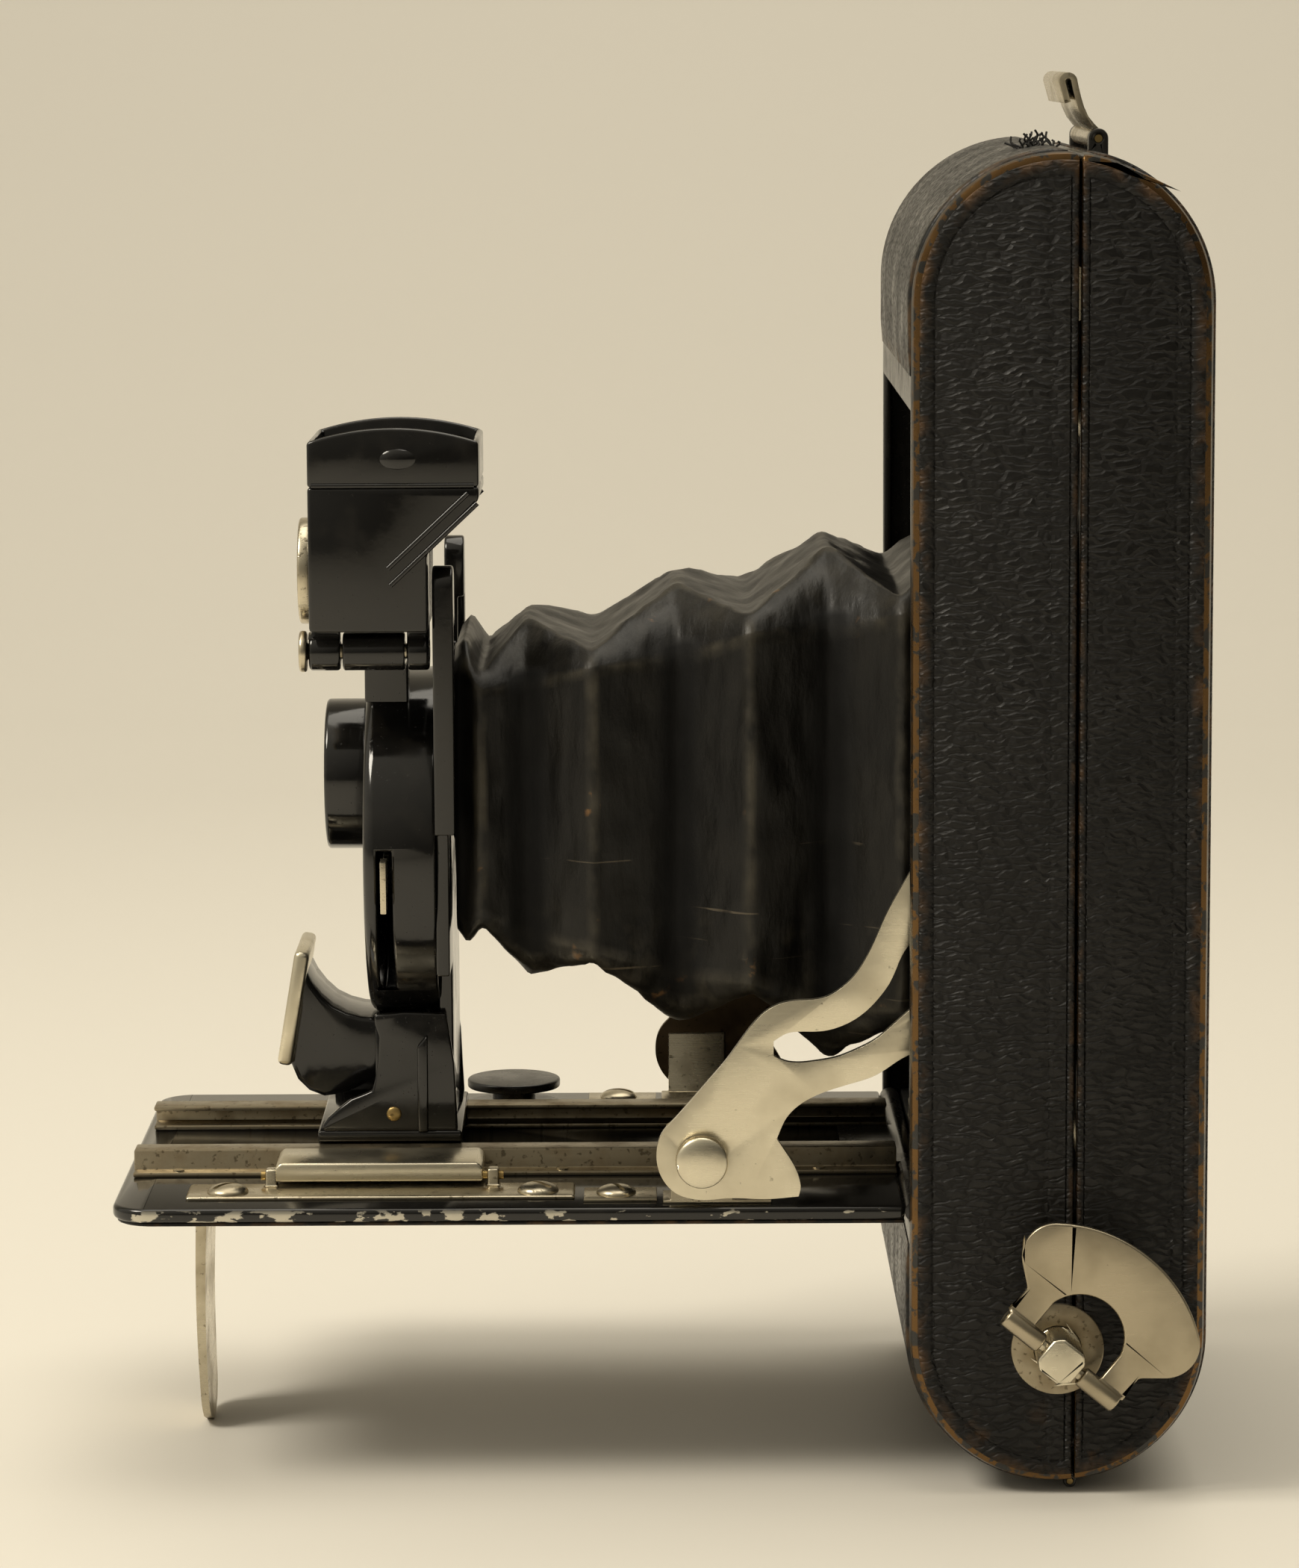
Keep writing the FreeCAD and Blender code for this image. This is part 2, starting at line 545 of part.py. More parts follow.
wing_bore = Part.makeCylinder(size("key_pin_radius") + size("running_gap"), 30, bar_middle - bar_way * 15, bar_way)
node("key_wing", feature(wing_plate.cut(hole).fuse(tubes).cut(wing_bore)))

# ---------------------------------------------------------------- bed, its skin, rails and hinge
bed_board = plate(
    ("-bed_front", "-bed_back"), ("-bed_half_width", "bed_half_width"), ("bed_underside + bed_skin", "bed_top"),
    "bed_corner", True,
)
socket_hole = rod("Z", "-socket_reach", "0", "bed_underside - 1", "bush_radius", "bush_length + 2")
node("bed_plate", cut(bed_board, socket_hole))
skin_board = plate(
    ("-bed_front + bed_skin", "-bed_back"), ("-bed_half_width + bed_skin", "bed_half_width - bed_skin"),
    ("bed_underside", "bed_underside + bed_skin"), "bed_corner", True,
)
leg_lug_spans = [("-leg_width / 2 - 2", "-leg_width / 2 - moving_gap"), ("leg_width / 2 + moving_gap", "leg_width / 2 + 2")]
lug_holes = [
    box(("-leg_place - leg_knuckle_radius", "-leg_place + leg_knuckle_radius"), span, ("0", "body_height"))
    for span in leg_lug_spans
]
node("bed_leather", cut(skin_board, socket_hole, *lug_holes))
node("bed_socket_bush", cut(
    rod("Z", "-socket_reach", "0", "bed_underside", "bush_radius", "bush_length"),
    rod("Z", "-socket_reach", "0", "bed_underside - 1", "thread_radius", "bush_length + 2"),
))
node("side_socket_bush", cut(
    fuse(rod("Y", "-body_depth / 4", "body_width / 2 - bush_length", side_socket_height, "bush_radius", "bush_length")),
    rod("Y", "-body_depth / 4", "body_width / 2 - bush_length - 1", side_socket_height, "thread_radius", "bush_length + 2"),
))


def mirrored_span(side, low, high):
    """A Y span between two distances from the middle, on one side of it."""
    return (low, high) if side > 0 else (f"-({high})", f"-({low})")


def rail(side, xs):
    inner = "rail_middle - rail_width / 2"
    outer = "rail_middle + rail_width / 2"
    foot = box(xs, mirrored_span(side, inner, f"{outer} + rail_foot"), ("bed_top", "bed_top + rail_sheet"))
    web = box(xs, mirrored_span(side, f"{outer} - rail_sheet", outer), ("bed_top", "bed_top + rail_height"))
    head = box(xs, mirrored_span(side, inner, outer), ("bed_top + rail_height - rail_sheet", "bed_top + rail_height"))
    return fuse(foot, web, head)


node("bed_rails", group(*[rail(side, ("-rail_front", "-bed_back - 0.1")) for side in (-1, 1)]))
node("case_rails", group(*[rail(side, (inside_front, "-3")) for side in (-1, 1)]))
node("bed_hinge", fuse(
    rod("Y", "-bed_hinge_place", "-bed_half_width + 0.5", "bed_hinge_height", "bed_hinge_radius", "2 * bed_half_width - 1"),
    box(("-bed_back - 7", "-bed_hinge_place"), ("-rail_middle + rail_width / 2 + 0.5", "rail_middle - rail_width / 2 - 0.5"),
        ("bed_top", "bed_top + 0.4")),
))

# ---------------------------------------------------------------- support leg under the bed
leg_lugs = [
    fuse(
        box(("-leg_place - leg_knuckle_radius", "-leg_place + leg_knuckle_radius"), span, ("leg_hinge_height", "bed_underside + bed_skin")),
        rod("Y", "-leg_place", span[0], "leg_hinge_height", "leg_knuckle_radius", f"({span[1]}) - ({span[0]})"),
    )
    for span in leg_lug_spans
]
leg_pin = rod("Y", "-leg_place", "-leg_width / 2 - 2", "leg_hinge_height", "leg_pin_radius", "leg_width + 4")
node("leg_lugs", cut(group(*leg_lugs), leg_pin))
leg_side = size("leg_width") / 2
tip_side = size("leg_tip_width") / 2
leg_top = size("leg_hinge_height")
foot = -size("foot_level")
leg_blank = Part.makePolygon([
    Vector(-size("leg_place"), y, z) for y, z in
    ((-leg_side, leg_top), (leg_side, leg_top), (tip_side, foot), (-tip_side, foot), (-leg_side, leg_top))
])
leg_back = size("leg_knuckle_radius")
leg_face = Part.Face(leg_blank).extrude(Vector(size("leg_sheet"), 0, 0))
leg_face.translate(Vector(leg_back - size("leg_sheet"), 0, 0))
flange_front = -size("leg_place") + leg_back - size("leg_flange")
flanges = []
for side in (-1, 1):
    corners = [
        Vector(flange_front, side * leg_side, leg_top - 3),
        Vector(flange_front, side * (leg_side - 1), leg_top - 3),
        Vector(flange_front, side * (tip_side - 1), foot),
        Vector(flange_front, side * tip_side, foot),
    ]
    flanges.append(Part.Face(Part.makePolygon(corners + corners[:1])).extrude(Vector(size("leg_flange"), 0, 0)))
leg_tube = Part.makeCylinder(size("leg_knuckle_radius"), 2 * leg_side, Vector(-size("leg_place"), -leg_side, leg_top), Vector(0, 1, 0))
leg_bore = Part.makeCylinder(
    size("leg_pin_radius") + size("running_gap"), 4 * leg_side, Vector(-size("leg_place"), -2 * leg_side, leg_top), Vector(0, 1, 0)
)
node("support_leg", feature(leg_face.fuse(flanges + [leg_tube]).cut(leg_bore)))

# ---------------------------------------------------------------- struts from the bed to the case
strut_top_edge = [(-51.7, 42), (-51.2, 45.2), (-48.9, 47.5), (-42.5, 54.9), (-39.3, 59.5), (-37.1, 61.7), (-34.5, 62.7),
                  (-30.3, 62.8), (-28.1, 63.9), (-25.9, 65.8), (-24, 69), (-21.8, 74.2), (-16.5, 83.5), (-13.5, 83.5)]
strut_fork = [(-14.5, 74), (-19.6, 69.4), (-21.4, 64.8), (-24, 61.6), (-26.6, 59.7), (-29.8, 58.6), (-34.5, 58.7), (-36.4, 57.4),
              (-36.4, 55.5), (-34.9, 54.7), (-32.9, 54.5), (-28.1, 55.2), (-23.3, 57.4), (-20.5, 60), (-16, 64), (-13.5, 64)]
strut_low_edge = [(-13.5, 57), (-19.4, 55.5), (-23.3, 52.7), (-27.5, 51.5), (-30.3, 50.6), (-32.9, 49.3), (-34.9, 47.4), (-36, 44.6),
                  (-33.6, 41), (-32.8, 38.4), (-33.2, 37), (-37.4, 36.6), (-42, 36.9), (-45.7, 36.45), (-49, 37.2), (-50.9, 39.3)]
strut_side = size("strut_side")
strut_hole = [
    Part.makeCylinder(1.2, 200, Vector(-size("strut_pivot_reach"), -100, size("strut_pivot_height")), Vector(0, 1, 0)),
    Part.makeCylinder(1.2, 200, Vector(-15.5, -100, 60.5), Vector(0, 1, 0)),
]
for label, near in (("left_strut", -strut_side - size("strut_sheet")), ("right_strut", strut_side)):
    blank = prism(strut_top_edge + strut_fork + strut_low_edge, near, near + size("strut_sheet"))
    node(label, feature(blank.cut(strut_hole)))
case_inside = size("body_width") / 2 - size("wall")
rivets = []
for side in (-1, 1):
    face = side * strut_side
    outer = side * (strut_side + size("strut_sheet"))
    pivot = Vector(-size("strut_pivot_reach"), 0, size("strut_pivot_height"))
    upper = Vector(-15.5, 0, 60.5)
    head = Part.makeCylinder(3.4, 0.7, pivot + Vector(0, outer, 0), Vector(0, side, 0))
    shank = Part.makeCylinder(1.2, size("strut_sheet"), pivot + Vector(0, face, 0), Vector(0, side, 0))
    rivets.append(head.fuse(shank))
    rivets.append(Part.makeCylinder(1.2, case_inside - strut_side, upper + Vector(0, face, 0), Vector(0, side, 0)))
for side in (-1, 1):
    for step in range(6):
        x = -size("rail_front") + 6 + 17 * step
        y = side * (size("rail_middle") + size("rail_width") / 2 + size("rail_foot") / 2)
        rivets.append(Part.makeCylinder(0.75, 0.2, Vector(x, y, size("bed_top") + size("rail_sheet"))))
node("rivets", feature(Part.makeCompound(rivets)))
strut_fittings = []
for side in (-1, 1):
    foot = box(
        ("-strut_pivot_reach - 5", "-strut_pivot_reach + 9"), mirrored_span(side, "strut_side - 6", "strut_side"),
        ("bed_top", "bed_top + fitting_sheet"),
    )
    upright = box(
        ("-strut_pivot_reach - 4", "-strut_pivot_reach + 4"), mirrored_span(side, "strut_side - 1", "strut_side"),
        ("bed_top", "strut_pivot_height + 3"),
    )
    spring = box(
        ("-61", "-51.5"), mirrored_span(side, "strut_side - 8", "strut_side - 1.2"),
        ("bed_top", "bed_top + fitting_sheet"),
    )
    strut_fittings += [fuse(foot, upright), spring]
node("strut_fittings", group(*strut_fittings))

# ---------------------------------------------------------------- focus lock and distance stop on the bed
lock_ears = [
    box(xs, ("-lock_pivot_side - 1", "-lock_pivot_side + 1"), ("bed_top + fitting_sheet", "lock_pivot_height + 1"))
    for xs in (("-lock_front - 1.8", "-lock_front - moving_gap"), ("-lock_back + moving_gap", "-lock_back + 1.8"))
]
node("lock_plate", cut(
    fuse(box(("-lock_plate_front", "-lock_plate_back"), ("-33", "-lock_near + 2"), ("bed_top", "bed_top + fitting_sheet")), *lock_ears),
    rod("X", "-lock_front - 2.4", "-lock_pivot_side", "lock_pivot_height", "lock_pin", "lock_front - lock_back + 4.8"),
))
node("bed_pins", group(
    rod("X", "-lock_front - 2.4", "-lock_pivot_side", "lock_pivot_height", "lock_pin", "lock_front - lock_back + 4.8"),
    rod("Y", "-leg_place", "-leg_width / 2 - 2", "leg_hinge_height", "leg_pin_radius", "leg_width + 4"),
))
lock_block = plate(("-lock_front", "-lock_back"), ("-lock_near", "-lock_far"), ("lock_low", "lock_high"), "2.5")
node("lock_lever", cut(
    lock_block,
    box(("-lock_front + lock_sheet", "-lock_back - lock_sheet"), ("-lock_near + 2.6", "-lock_far - lock_sheet"), ("lock_low - 1", "lock_high - lock_sheet")),
    rod("X", "-lock_front - 5", "-lock_pivot_side", "lock_pivot_height", "lock_pin + running_gap", "lock_front - lock_back + 10"),
))
node("bed_screws", group(*[
    rod("Z", x, y, "bed_top + fitting_sheet", "screw_radius", "0.9")
    for x, y in (("-107.5", "-30"), ("-67", "-30"), ("-56.8", "-strut_side + 4.5"), ("-56.8", "strut_side - 4.5"))
]))
node("distance_stop", fuse(
    rod("Z", "-stop_reach", "stop_side", "bed_top", "stop_radius", "1"),
    rod("Z", "-stop_reach", "stop_side", "bed_top", "3", "stop_top - bed_top - 1"),
    rod("Z", "-stop_reach", "stop_side", "stop_top - 1.2", "stop_radius - 0.5", "1.2"),
))

# ---------------------------------------------------------------- bellows
peak_places = [(-66.8, 23.9, 20.5), (-48.2, 28.9, 23.3), (-29.3, 32.6, 26), (-10.5, 37, 28.2)]
valley_places = [(-58, 21.6, 24.6), (-38.8, 25.8, 27.4), (-20, 30.2, 29.6), (0, 35.5, 31)]
bellows_front = (-size("bellows_front"), 21.6, 21)
gate_front = (size("film_plane") - size("gate_plate"), size("gate_height") / 2 + 1.5, size("gate_width") / 2 + 1.5)
sections = sorted([bellows_front, (-74.5, 22, 21)] + peak_places + valley_places + [gate_front])


def bellows_form(inset):
    rings = []
    for x, half_height, half_width in sections:
        up = half_height - inset
        out = half_width - inset
        ring = [Vector(x, out * a, size("lens_height") + up * b) for a, b in ((-1, -1), (1, -1), (1, 1), (-1, 1), (-1, -1))]
        rings.append(Part.makePolygon(ring))
    return Part.makeLoft(rings, True, True)


node("bellows", feature(bellows_form(0).cut(bellows_form(size("bellows_sheet")))))

# ---------------------------------------------------------------- lens standard: carriage, plates, grip
rail_floor = "bed_top + rail_sheet + moving_gap"
rail_roof = "bed_top + rail_height - rail_sheet - moving_gap"
carriage_xs = ("-carriage_front", "-carriage_back")
runners = []
for side in (-1, 1):
    inner = "rail_middle - rail_width / 2 - moving_gap"
    runners.append(box(carriage_xs, mirrored_span(side, inner + " - 3.2", inner), (rail_floor, "carriage_top - carriage_plate")))
    runners.append(box(carriage_xs, mirrored_span(side, inner + " - 0.5", "rail_middle + rail_width / 2 - rail_sheet - moving_gap"), (rail_floor, rail_roof)))
node("carriage", fuse(
    box(carriage_xs, ("-rail_middle + 1", "rail_middle - 1"), ("carriage_top - carriage_plate", "carriage_top")), *runners,
))
standard_xs = ("-standard_front", "-standard_back")
disc_cut = rod("X", "-housing_front", "0", "lens_height", "barrel_bore", "20")
arms = [
    fuse(
        box(("-standard_front", "-standard_back + 0.9"), mirrored_span(side, "arm_inner", "arm_outer"), ("lens_height - 5", "arm_top - (arm_outer - arm_inner) / 2")),
        rod("X", "-standard_front", f"{side} * (arm_inner + arm_outer) / 2", "arm_top - (arm_outer - arm_inner) / 2", "(arm_outer - arm_inner) / 2", "standard_front - standard_back + 0.9"),
    )
    for side in (-1, 1)
]
bellows_room = box(("-standard_back", "0"), ("-21 - moving_gap", "21 + moving_gap"), ("0", "lens_height + 21.6 + moving_gap"))
node("standard_plate", cut(
    fuse(
        box(standard_xs, ("-upright_half_width", "upright_half_width"), ("carriage_top", "lens_height")),
        box(standard_xs, ("-standard_half_width", "standard_half_width"), ("lens_height - 24", "lens_height + 15.6")),
        *arms,
    ),
    disc_cut,
    bellows_room,
))
cheeks = [
    cut(
        fuse(
            box(("-bracket_front", "-standard_front"), mirrored_span(side, "bracket_inner", "upright_half_width"), ("carriage_top", "bracket_top - 3.5")),
            rod("Y", "-bracket_front + 3.2", f"{'bracket_inner' if side > 0 else '-upright_half_width'}", "carriage_top + 3.2", "3.2", "upright_half_width - bracket_inner"),
        ),
        box(("-84.2", "-82.8"), mirrored_span(side, "bracket_inner - 1", "upright_half_width + 1"), ("46", "53")),
    )
    for side in (-1, 1)
]
web = box(
    ("-bracket_front", "-standard_front"), ("-bracket_inner", "bracket_inner"), ("carriage_top", "carriage_top + 1.2")
)
node("focus_bracket", fuse(web, *cheeks))
grip = doc.addObject("Part::Box", "Grip")
bind(grip, "Length", "grip_thickness")
bind(grip, "Width", "2 * grip_half_width")
bind(grip, "Height", "grip_length")
grip.Placement = Placement(Vector(), Rotation(Vector(0, 1, 0), size("grip_lean")))
bind_place(grip, "-102.4", "-grip_half_width", "49.1")
node("finger_grip", grip)
grip_profile = [(-99.6, 49.6), (-91, 48.5), (-80.3, 48.5), (-80.3, 52.5), (-90, 52.5), (-90, 56.5), (-91.5, 56),
                (-93.5, 57), (-94.5, 60), (-97.2, 63.8)]
half_grip = size("grip_half_width") - 1.5
node("grip_bracket", feature(prism(grip_profile, -half_grip, half_grip)))

# ---------------------------------------------------------------- shutter housing, shutter, stops and lens
node("shutter_housing", cut(
    rod("X", "-housing_front", "0", "housing_height", "housing_radius", "housing_front - standard_front"),
    rod("X", "-housing_front + housing_wall", "0", "housing_height", "housing_radius - housing_wall", "housing_front"),
    rod("X", "-housing_front - 1", "0", "lens_height", "barrel_spigot", "housing_wall + 2"),
    box(("-88", "-88 + lever_slot_width"), ("-housing_radius - 2", "-12"), ("lever_slot_low", "lever_slot_high")),
    box(("-85", "-83.2"), ("12", "housing_radius + 2"), ("housing_height - 12", "housing_height + 12")),
))
node("lens_barrel", cut(
    fuse(
        rod("X", "-barrel_front", "0", "lens_height", "barrel_radius", "barrel_front - housing_front"),
        rod("X", "-housing_front", "0", "lens_height", "barrel_spigot", "housing_wall"),
    ),
    rod("X", "-barrel_front + 2.5", "0", "lens_height", "barrel_bore", "20"),
    rod("X", "-barrel_front - 1", "0", "lens_height", "barrel_bore - 1.1", "20"),
))
node("front_lens", rod("X", "-barrel_front + 2.5", "0", "lens_height", "barrel_bore", "2.4"))
pivot_xs = ("-housing_front + housing_wall", "-standard_front")
node("shutter_pivot", rod("X", pivot_xs[0], "0", "housing_height", "shutter_pivot_radius", "housing_front - housing_wall - standard_front"))


def turned_plate(x, thickness, outline_radius, holes):
    """A round plate on the shutter's pivot, with holes at angles from upright towards +Y."""
    middle = Vector(-x, 0, size("housing_height"))
    disc = Part.makeCylinder(outline_radius, thickness, middle, Vector(1, 0, 0))
    offset = size("lens_height") - size("housing_height")
    tools = [Part.makeCylinder(size("shutter_pivot_radius") + size("running_gap"), thickness, middle, Vector(1, 0, 0))]
    for angle, radius in holes:
        turn = math.radians(angle)
        tools.append(Part.makeCylinder(radius, thickness, middle + Vector(0, offset * math.sin(turn), offset * math.cos(turn)), Vector(1, 0, 0)))
    return disc.cut(tools)


def tab(x, thickness, side, angle, reach, width):
    """An arm from the pivot out through the housing's side, at an angle above level."""
    arm = Part.makeBox(thickness, reach - 2.2, width, Vector(-x, 2.2, -width / 2))
    arm.rotate(Vector(), Vector(1, 0, 0), angle if side > 0 else 180 - angle)
    arm.translate(Vector(0, 0, size("housing_height")))
    return arm


lever_arm = tab(87.4, 0.8, -1, -size("lever_middle_angle"), size("housing_radius") + 2.6, 3.4)
lever_pad = tab(87.4, 0.8, -1, -size("lever_middle_angle"), size("housing_radius") + 2.6, size("lever_tab")).common(
    Part.makeCylinder(60, 10, Vector(-90, 0, size("housing_height")), Vector(1, 0, 0)).cut(
        Part.makeCylinder(size("housing_radius") + 0.4, 10, Vector(-90, 0, size("housing_height")), Vector(1, 0, 0)))
)
node("shutter_lever", feature(turned_plate(87.4, 0.8, 3.6, []).fuse([
    lever_arm.cut(Part.makeCylinder(2.5, 10, Vector(-90, 0, size("housing_height")), Vector(1, 0, 0))), lever_pad])))
node("shutter_blade", feature(turned_plate(85.9, 0.5, size("housing_radius") - 5, [(57.8, size("aperture_radius") + 0.3)])))
stop_arm = tab(84.4, 0.6, 1, -22, size("housing_radius") + 2.2, 3).cut(
    Part.makeCylinder(4, 10, Vector(-90, 0, size("housing_height")), Vector(1, 0, 0)))
node("stop_plate", feature(turned_plate(84.4, 0.6, size("housing_radius") - 6, [(0, size("aperture_radius")), (44, 2.5)]).fuse(stop_arm)))

# ---------------------------------------------------------------- finder, hinged above the housing
finder_far = "-finder_side + finder_width"
near = -size("finder_side")
far = near + size("finder_width")
sheet_width = size("finder_sheet")
front = -size("finder_front")
back = -size("finder_back")
over = -size("finder_overhang")
low = size("finder_low")
high = size("finder_high")
profile = [(front, low), (back, low), (back, low + 10), (over, high - 1.7), (over, high), (front, high)]
inner = [
    (front + sheet_width, low + sheet_width), (back - sheet_width, low + sheet_width), (back - sheet_width, low + 10.4),
    (over - sheet_width, high - 1.4), (over - sheet_width, high + 1), (front + sheet_width, high + 1),
]
lens_bore = Part.makeCylinder(size("finder_lens_radius"), 3, Vector(front - 1, (near + far) / 2, size("finder_lens_height")), Vector(1, 0, 0))
finder_solid = prism(profile, near, far).cut([prism(inner, near + sheet_width, far - sheet_width), lens_bore])
hinge_middle = Vector(0, -size("finder_hinge_side"), size("finder_hinge_height"))
knuckles = []
for start, end in (("finder_knuckle_front", "knuckle_split_front"), ("knuckle_split_back", "finder_back")):
    reach = size(start) - size(end)
    knuckles.append(Part.makeCylinder(
        size("finder_knuckle"), reach, hinge_middle - Vector(size(start), 0, 0), Vector(1, 0, 0)
    ))
    neck_front = min(size(start), size("finder_front"))
    knuckles.append(Part.makeBox(
        neck_front - size(end), 3, low - hinge_middle.z, hinge_middle - Vector(neck_front, 1.5, 0)
    ))
knuckle_bore = Part.makeCylinder(
    size("finder_pin") + size("running_gap"), 60, hinge_middle - Vector(120, 0, 0), Vector(1, 0, 0)
)
node("finder_body", feature(finder_solid.fuse(knuckles).cut(knuckle_bore)))
hood_end = size("hood_end_height")
hood_arch = size("hood_arch_height")
arch = Part.Face(Part.Wire([
    Part.makeLine(Vector(front, near, high), Vector(over, near, high)),
    Part.makeLine(Vector(over, near, high), Vector(over, near, hood_end)),
    Part.Arc(Vector(over, near, hood_end), Vector((front + over) / 2, near, hood_arch), Vector(front, near, hood_end)).toShape(),
    Part.makeLine(Vector(front, near, hood_end), Vector(front, near, high)),
])).extrude(Vector(0, far - near, 0))
hood_room = Part.makeBox(over - front - 2 * sheet_width, far - near - 2 * sheet_width, 20, Vector(front + sheet_width, near + sheet_width, high - 1))
node("finder_hood", feature(arch.cut(hood_room)))
finder_middle = "-finder_side + finder_width / 2"
node("finder_bezel", cut(
    rod("X", "-finder_front - bezel_depth", finder_middle, "finder_lens_height", "bezel_radius", "bezel_depth"),
    rod("X", "-finder_front - 5", finder_middle, "finder_lens_height", "finder_lens_radius", "10"),
))
node("finder_lens", rod("X", "-finder_front - 1", finder_middle, "finder_lens_height", "finder_lens_radius", "1.8"))
node("finder_glass", box(
    ("-finder_front + finder_sheet", "-finder_overhang - finder_sheet"), ("-finder_side + finder_sheet", f"{finder_far} - finder_sheet"),
    ("finder_high - 1", "finder_high + 0.3"),
))
mirror = Part.makeBox(15, size("finder_width") - 2 * sheet_width, 0.7, Vector(0, near + sheet_width, 0))
mirror.rotate(Vector(), Vector(0, 1, 0), -45)
mirror.translate(Vector(front + 2.6, 0, low + 2))
node("finder_mirror", feature(mirror.common(prism(inner, near, far)).common(Part.makeBox(60, 60, size("finder_high") - 1.2, Vector(-120, -60, 0)))))
hinge_side = "-finder_hinge_side"
post_xs = ("-knuckle_split_front + moving_gap", "-knuckle_split_back - moving_gap")
leaf_floor = "finder_hinge_height - finder_knuckle"
node("finder_bracket", cut(
    fuse(
        rod("X", post_xs[0], hinge_side, "finder_hinge_height", "finder_knuckle", f"({post_xs[1]}) - ({post_xs[0]})"),
        box(post_xs, (hinge_side, "-finder_seat"), (leaf_floor, f"{leaf_floor} + finder_leaf")),
        box(
            ("-housing_front", post_xs[1]), ("-finder_seat - finder_foot", "-finder_seat"),
            ("housing_height", f"{leaf_floor} + finder_leaf"),
        ),
    ),
    rod("X", "-200", "0", "housing_height", "housing_radius", "200"),
    rod("X", "-200", hinge_side, "finder_hinge_height", "finder_pin", "200"),
))
node("finder_pin", fuse(
    rod("X", "-finder_knuckle_front - 0.3", hinge_side, "finder_hinge_height", "finder_pin", "finder_knuckle_front - finder_back + 0.3"),
    rod("X", "-finder_knuckle_front - 1.3", hinge_side, "finder_hinge_height", "finder_knuckle + 0.2", "1"),
))

# ---------------------------------------------------------------- check and write
doc.recompute()
for thing in doc.Objects:
    if "Invalid" in thing.State or "Error" in thing.State:
        raise RuntimeError(f"{thing.Label} ({thing.Name}) failed: {thing.State}")
os.makedirs("parts", exist_ok=True)
for thing in nodes:
    shape = thing.Shape
    if shape.isNull() or not shape.isValid() or not shape.Solids:
        raise RuntimeError(f"{thing.Label} has no valid solid")
    shape.exportStep(f"parts/{thing.Label}.step")
print(len(nodes), "sub-parts written")
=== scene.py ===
import json
import math
import random

import bmesh
import bpy
from mathutils import Matrix, Vector, noise


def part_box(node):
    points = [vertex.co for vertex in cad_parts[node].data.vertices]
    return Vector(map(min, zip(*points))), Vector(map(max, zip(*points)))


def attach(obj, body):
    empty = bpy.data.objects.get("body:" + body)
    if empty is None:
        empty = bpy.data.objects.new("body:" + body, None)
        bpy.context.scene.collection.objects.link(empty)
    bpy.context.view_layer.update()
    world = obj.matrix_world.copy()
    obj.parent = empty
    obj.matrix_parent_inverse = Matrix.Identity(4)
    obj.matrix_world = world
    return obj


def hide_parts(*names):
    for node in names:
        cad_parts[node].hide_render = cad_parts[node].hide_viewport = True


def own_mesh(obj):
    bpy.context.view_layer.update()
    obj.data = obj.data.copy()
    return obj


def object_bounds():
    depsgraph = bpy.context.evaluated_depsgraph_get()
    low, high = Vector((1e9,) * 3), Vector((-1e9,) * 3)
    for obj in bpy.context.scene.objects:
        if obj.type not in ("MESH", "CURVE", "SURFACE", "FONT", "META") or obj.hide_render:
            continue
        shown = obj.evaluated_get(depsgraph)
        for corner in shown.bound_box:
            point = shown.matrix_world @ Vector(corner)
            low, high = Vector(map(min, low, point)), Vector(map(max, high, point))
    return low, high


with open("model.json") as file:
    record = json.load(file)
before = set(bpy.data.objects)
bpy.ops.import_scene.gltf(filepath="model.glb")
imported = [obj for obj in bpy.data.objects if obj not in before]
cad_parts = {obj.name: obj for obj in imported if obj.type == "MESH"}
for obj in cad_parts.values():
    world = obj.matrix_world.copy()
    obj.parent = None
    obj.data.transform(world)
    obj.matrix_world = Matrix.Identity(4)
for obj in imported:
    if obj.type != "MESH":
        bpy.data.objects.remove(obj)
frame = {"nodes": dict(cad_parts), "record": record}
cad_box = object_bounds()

mm = 0.001


# ---- Camera, light and table.
# The camera looks level along the bed's side from about 70 cm, a little from above. The light is one broad
# soft window high on the left, a weaker one overhead and the pale walls of the room.
eye = bpy.data.objects.new("eye", bpy.data.cameras.new("eye"))
bpy.context.scene.collection.objects.link(eye)
eye.data.sensor_fit = "VERTICAL"
eye.data.sensor_height = 36
eye.data.lens = 121.7
eye.data.clip_start = 0.05
eye.location = (-7.2 * mm, -707.6 * mm, 151.9 * mm)
looking = Matrix.Rotation(math.pi / 2 - 0.140, 4, "X") @ Matrix.Rotation(-0.005, 4, "Z")
eye.rotation_euler = looking.to_euler()
bpy.context.scene.camera = eye
bpy.context.scene.view_settings.view_transform = "Standard"


def soft_light(name, place, aim, width, height, power, colour):
    """A rectangular softbox turned towards a point."""
    lamp = bpy.data.objects.new(name, bpy.data.lights.new(name, "AREA"))
    bpy.context.scene.collection.objects.link(lamp)
    lamp.data.shape = "RECTANGLE"
    lamp.data.size = width
    lamp.data.size_y = height
    lamp.data.energy = power
    lamp.data.color = colour
    lamp.location = place
    lamp.rotation_euler = (Vector(aim) - Vector(place)).to_track_quat("-Z", "Y").to_euler()


soft_light("window", (-0.60, -0.30, 0.80), (0, 0, 0.03), 0.35, 0.35, 6.2, (1, 0.93, 0.80))
soft_light("overhead", (0.15, 0.15, 1.0), (0, 0, 0), 0.9, 0.9, 5.2, (1, 0.94, 0.82))

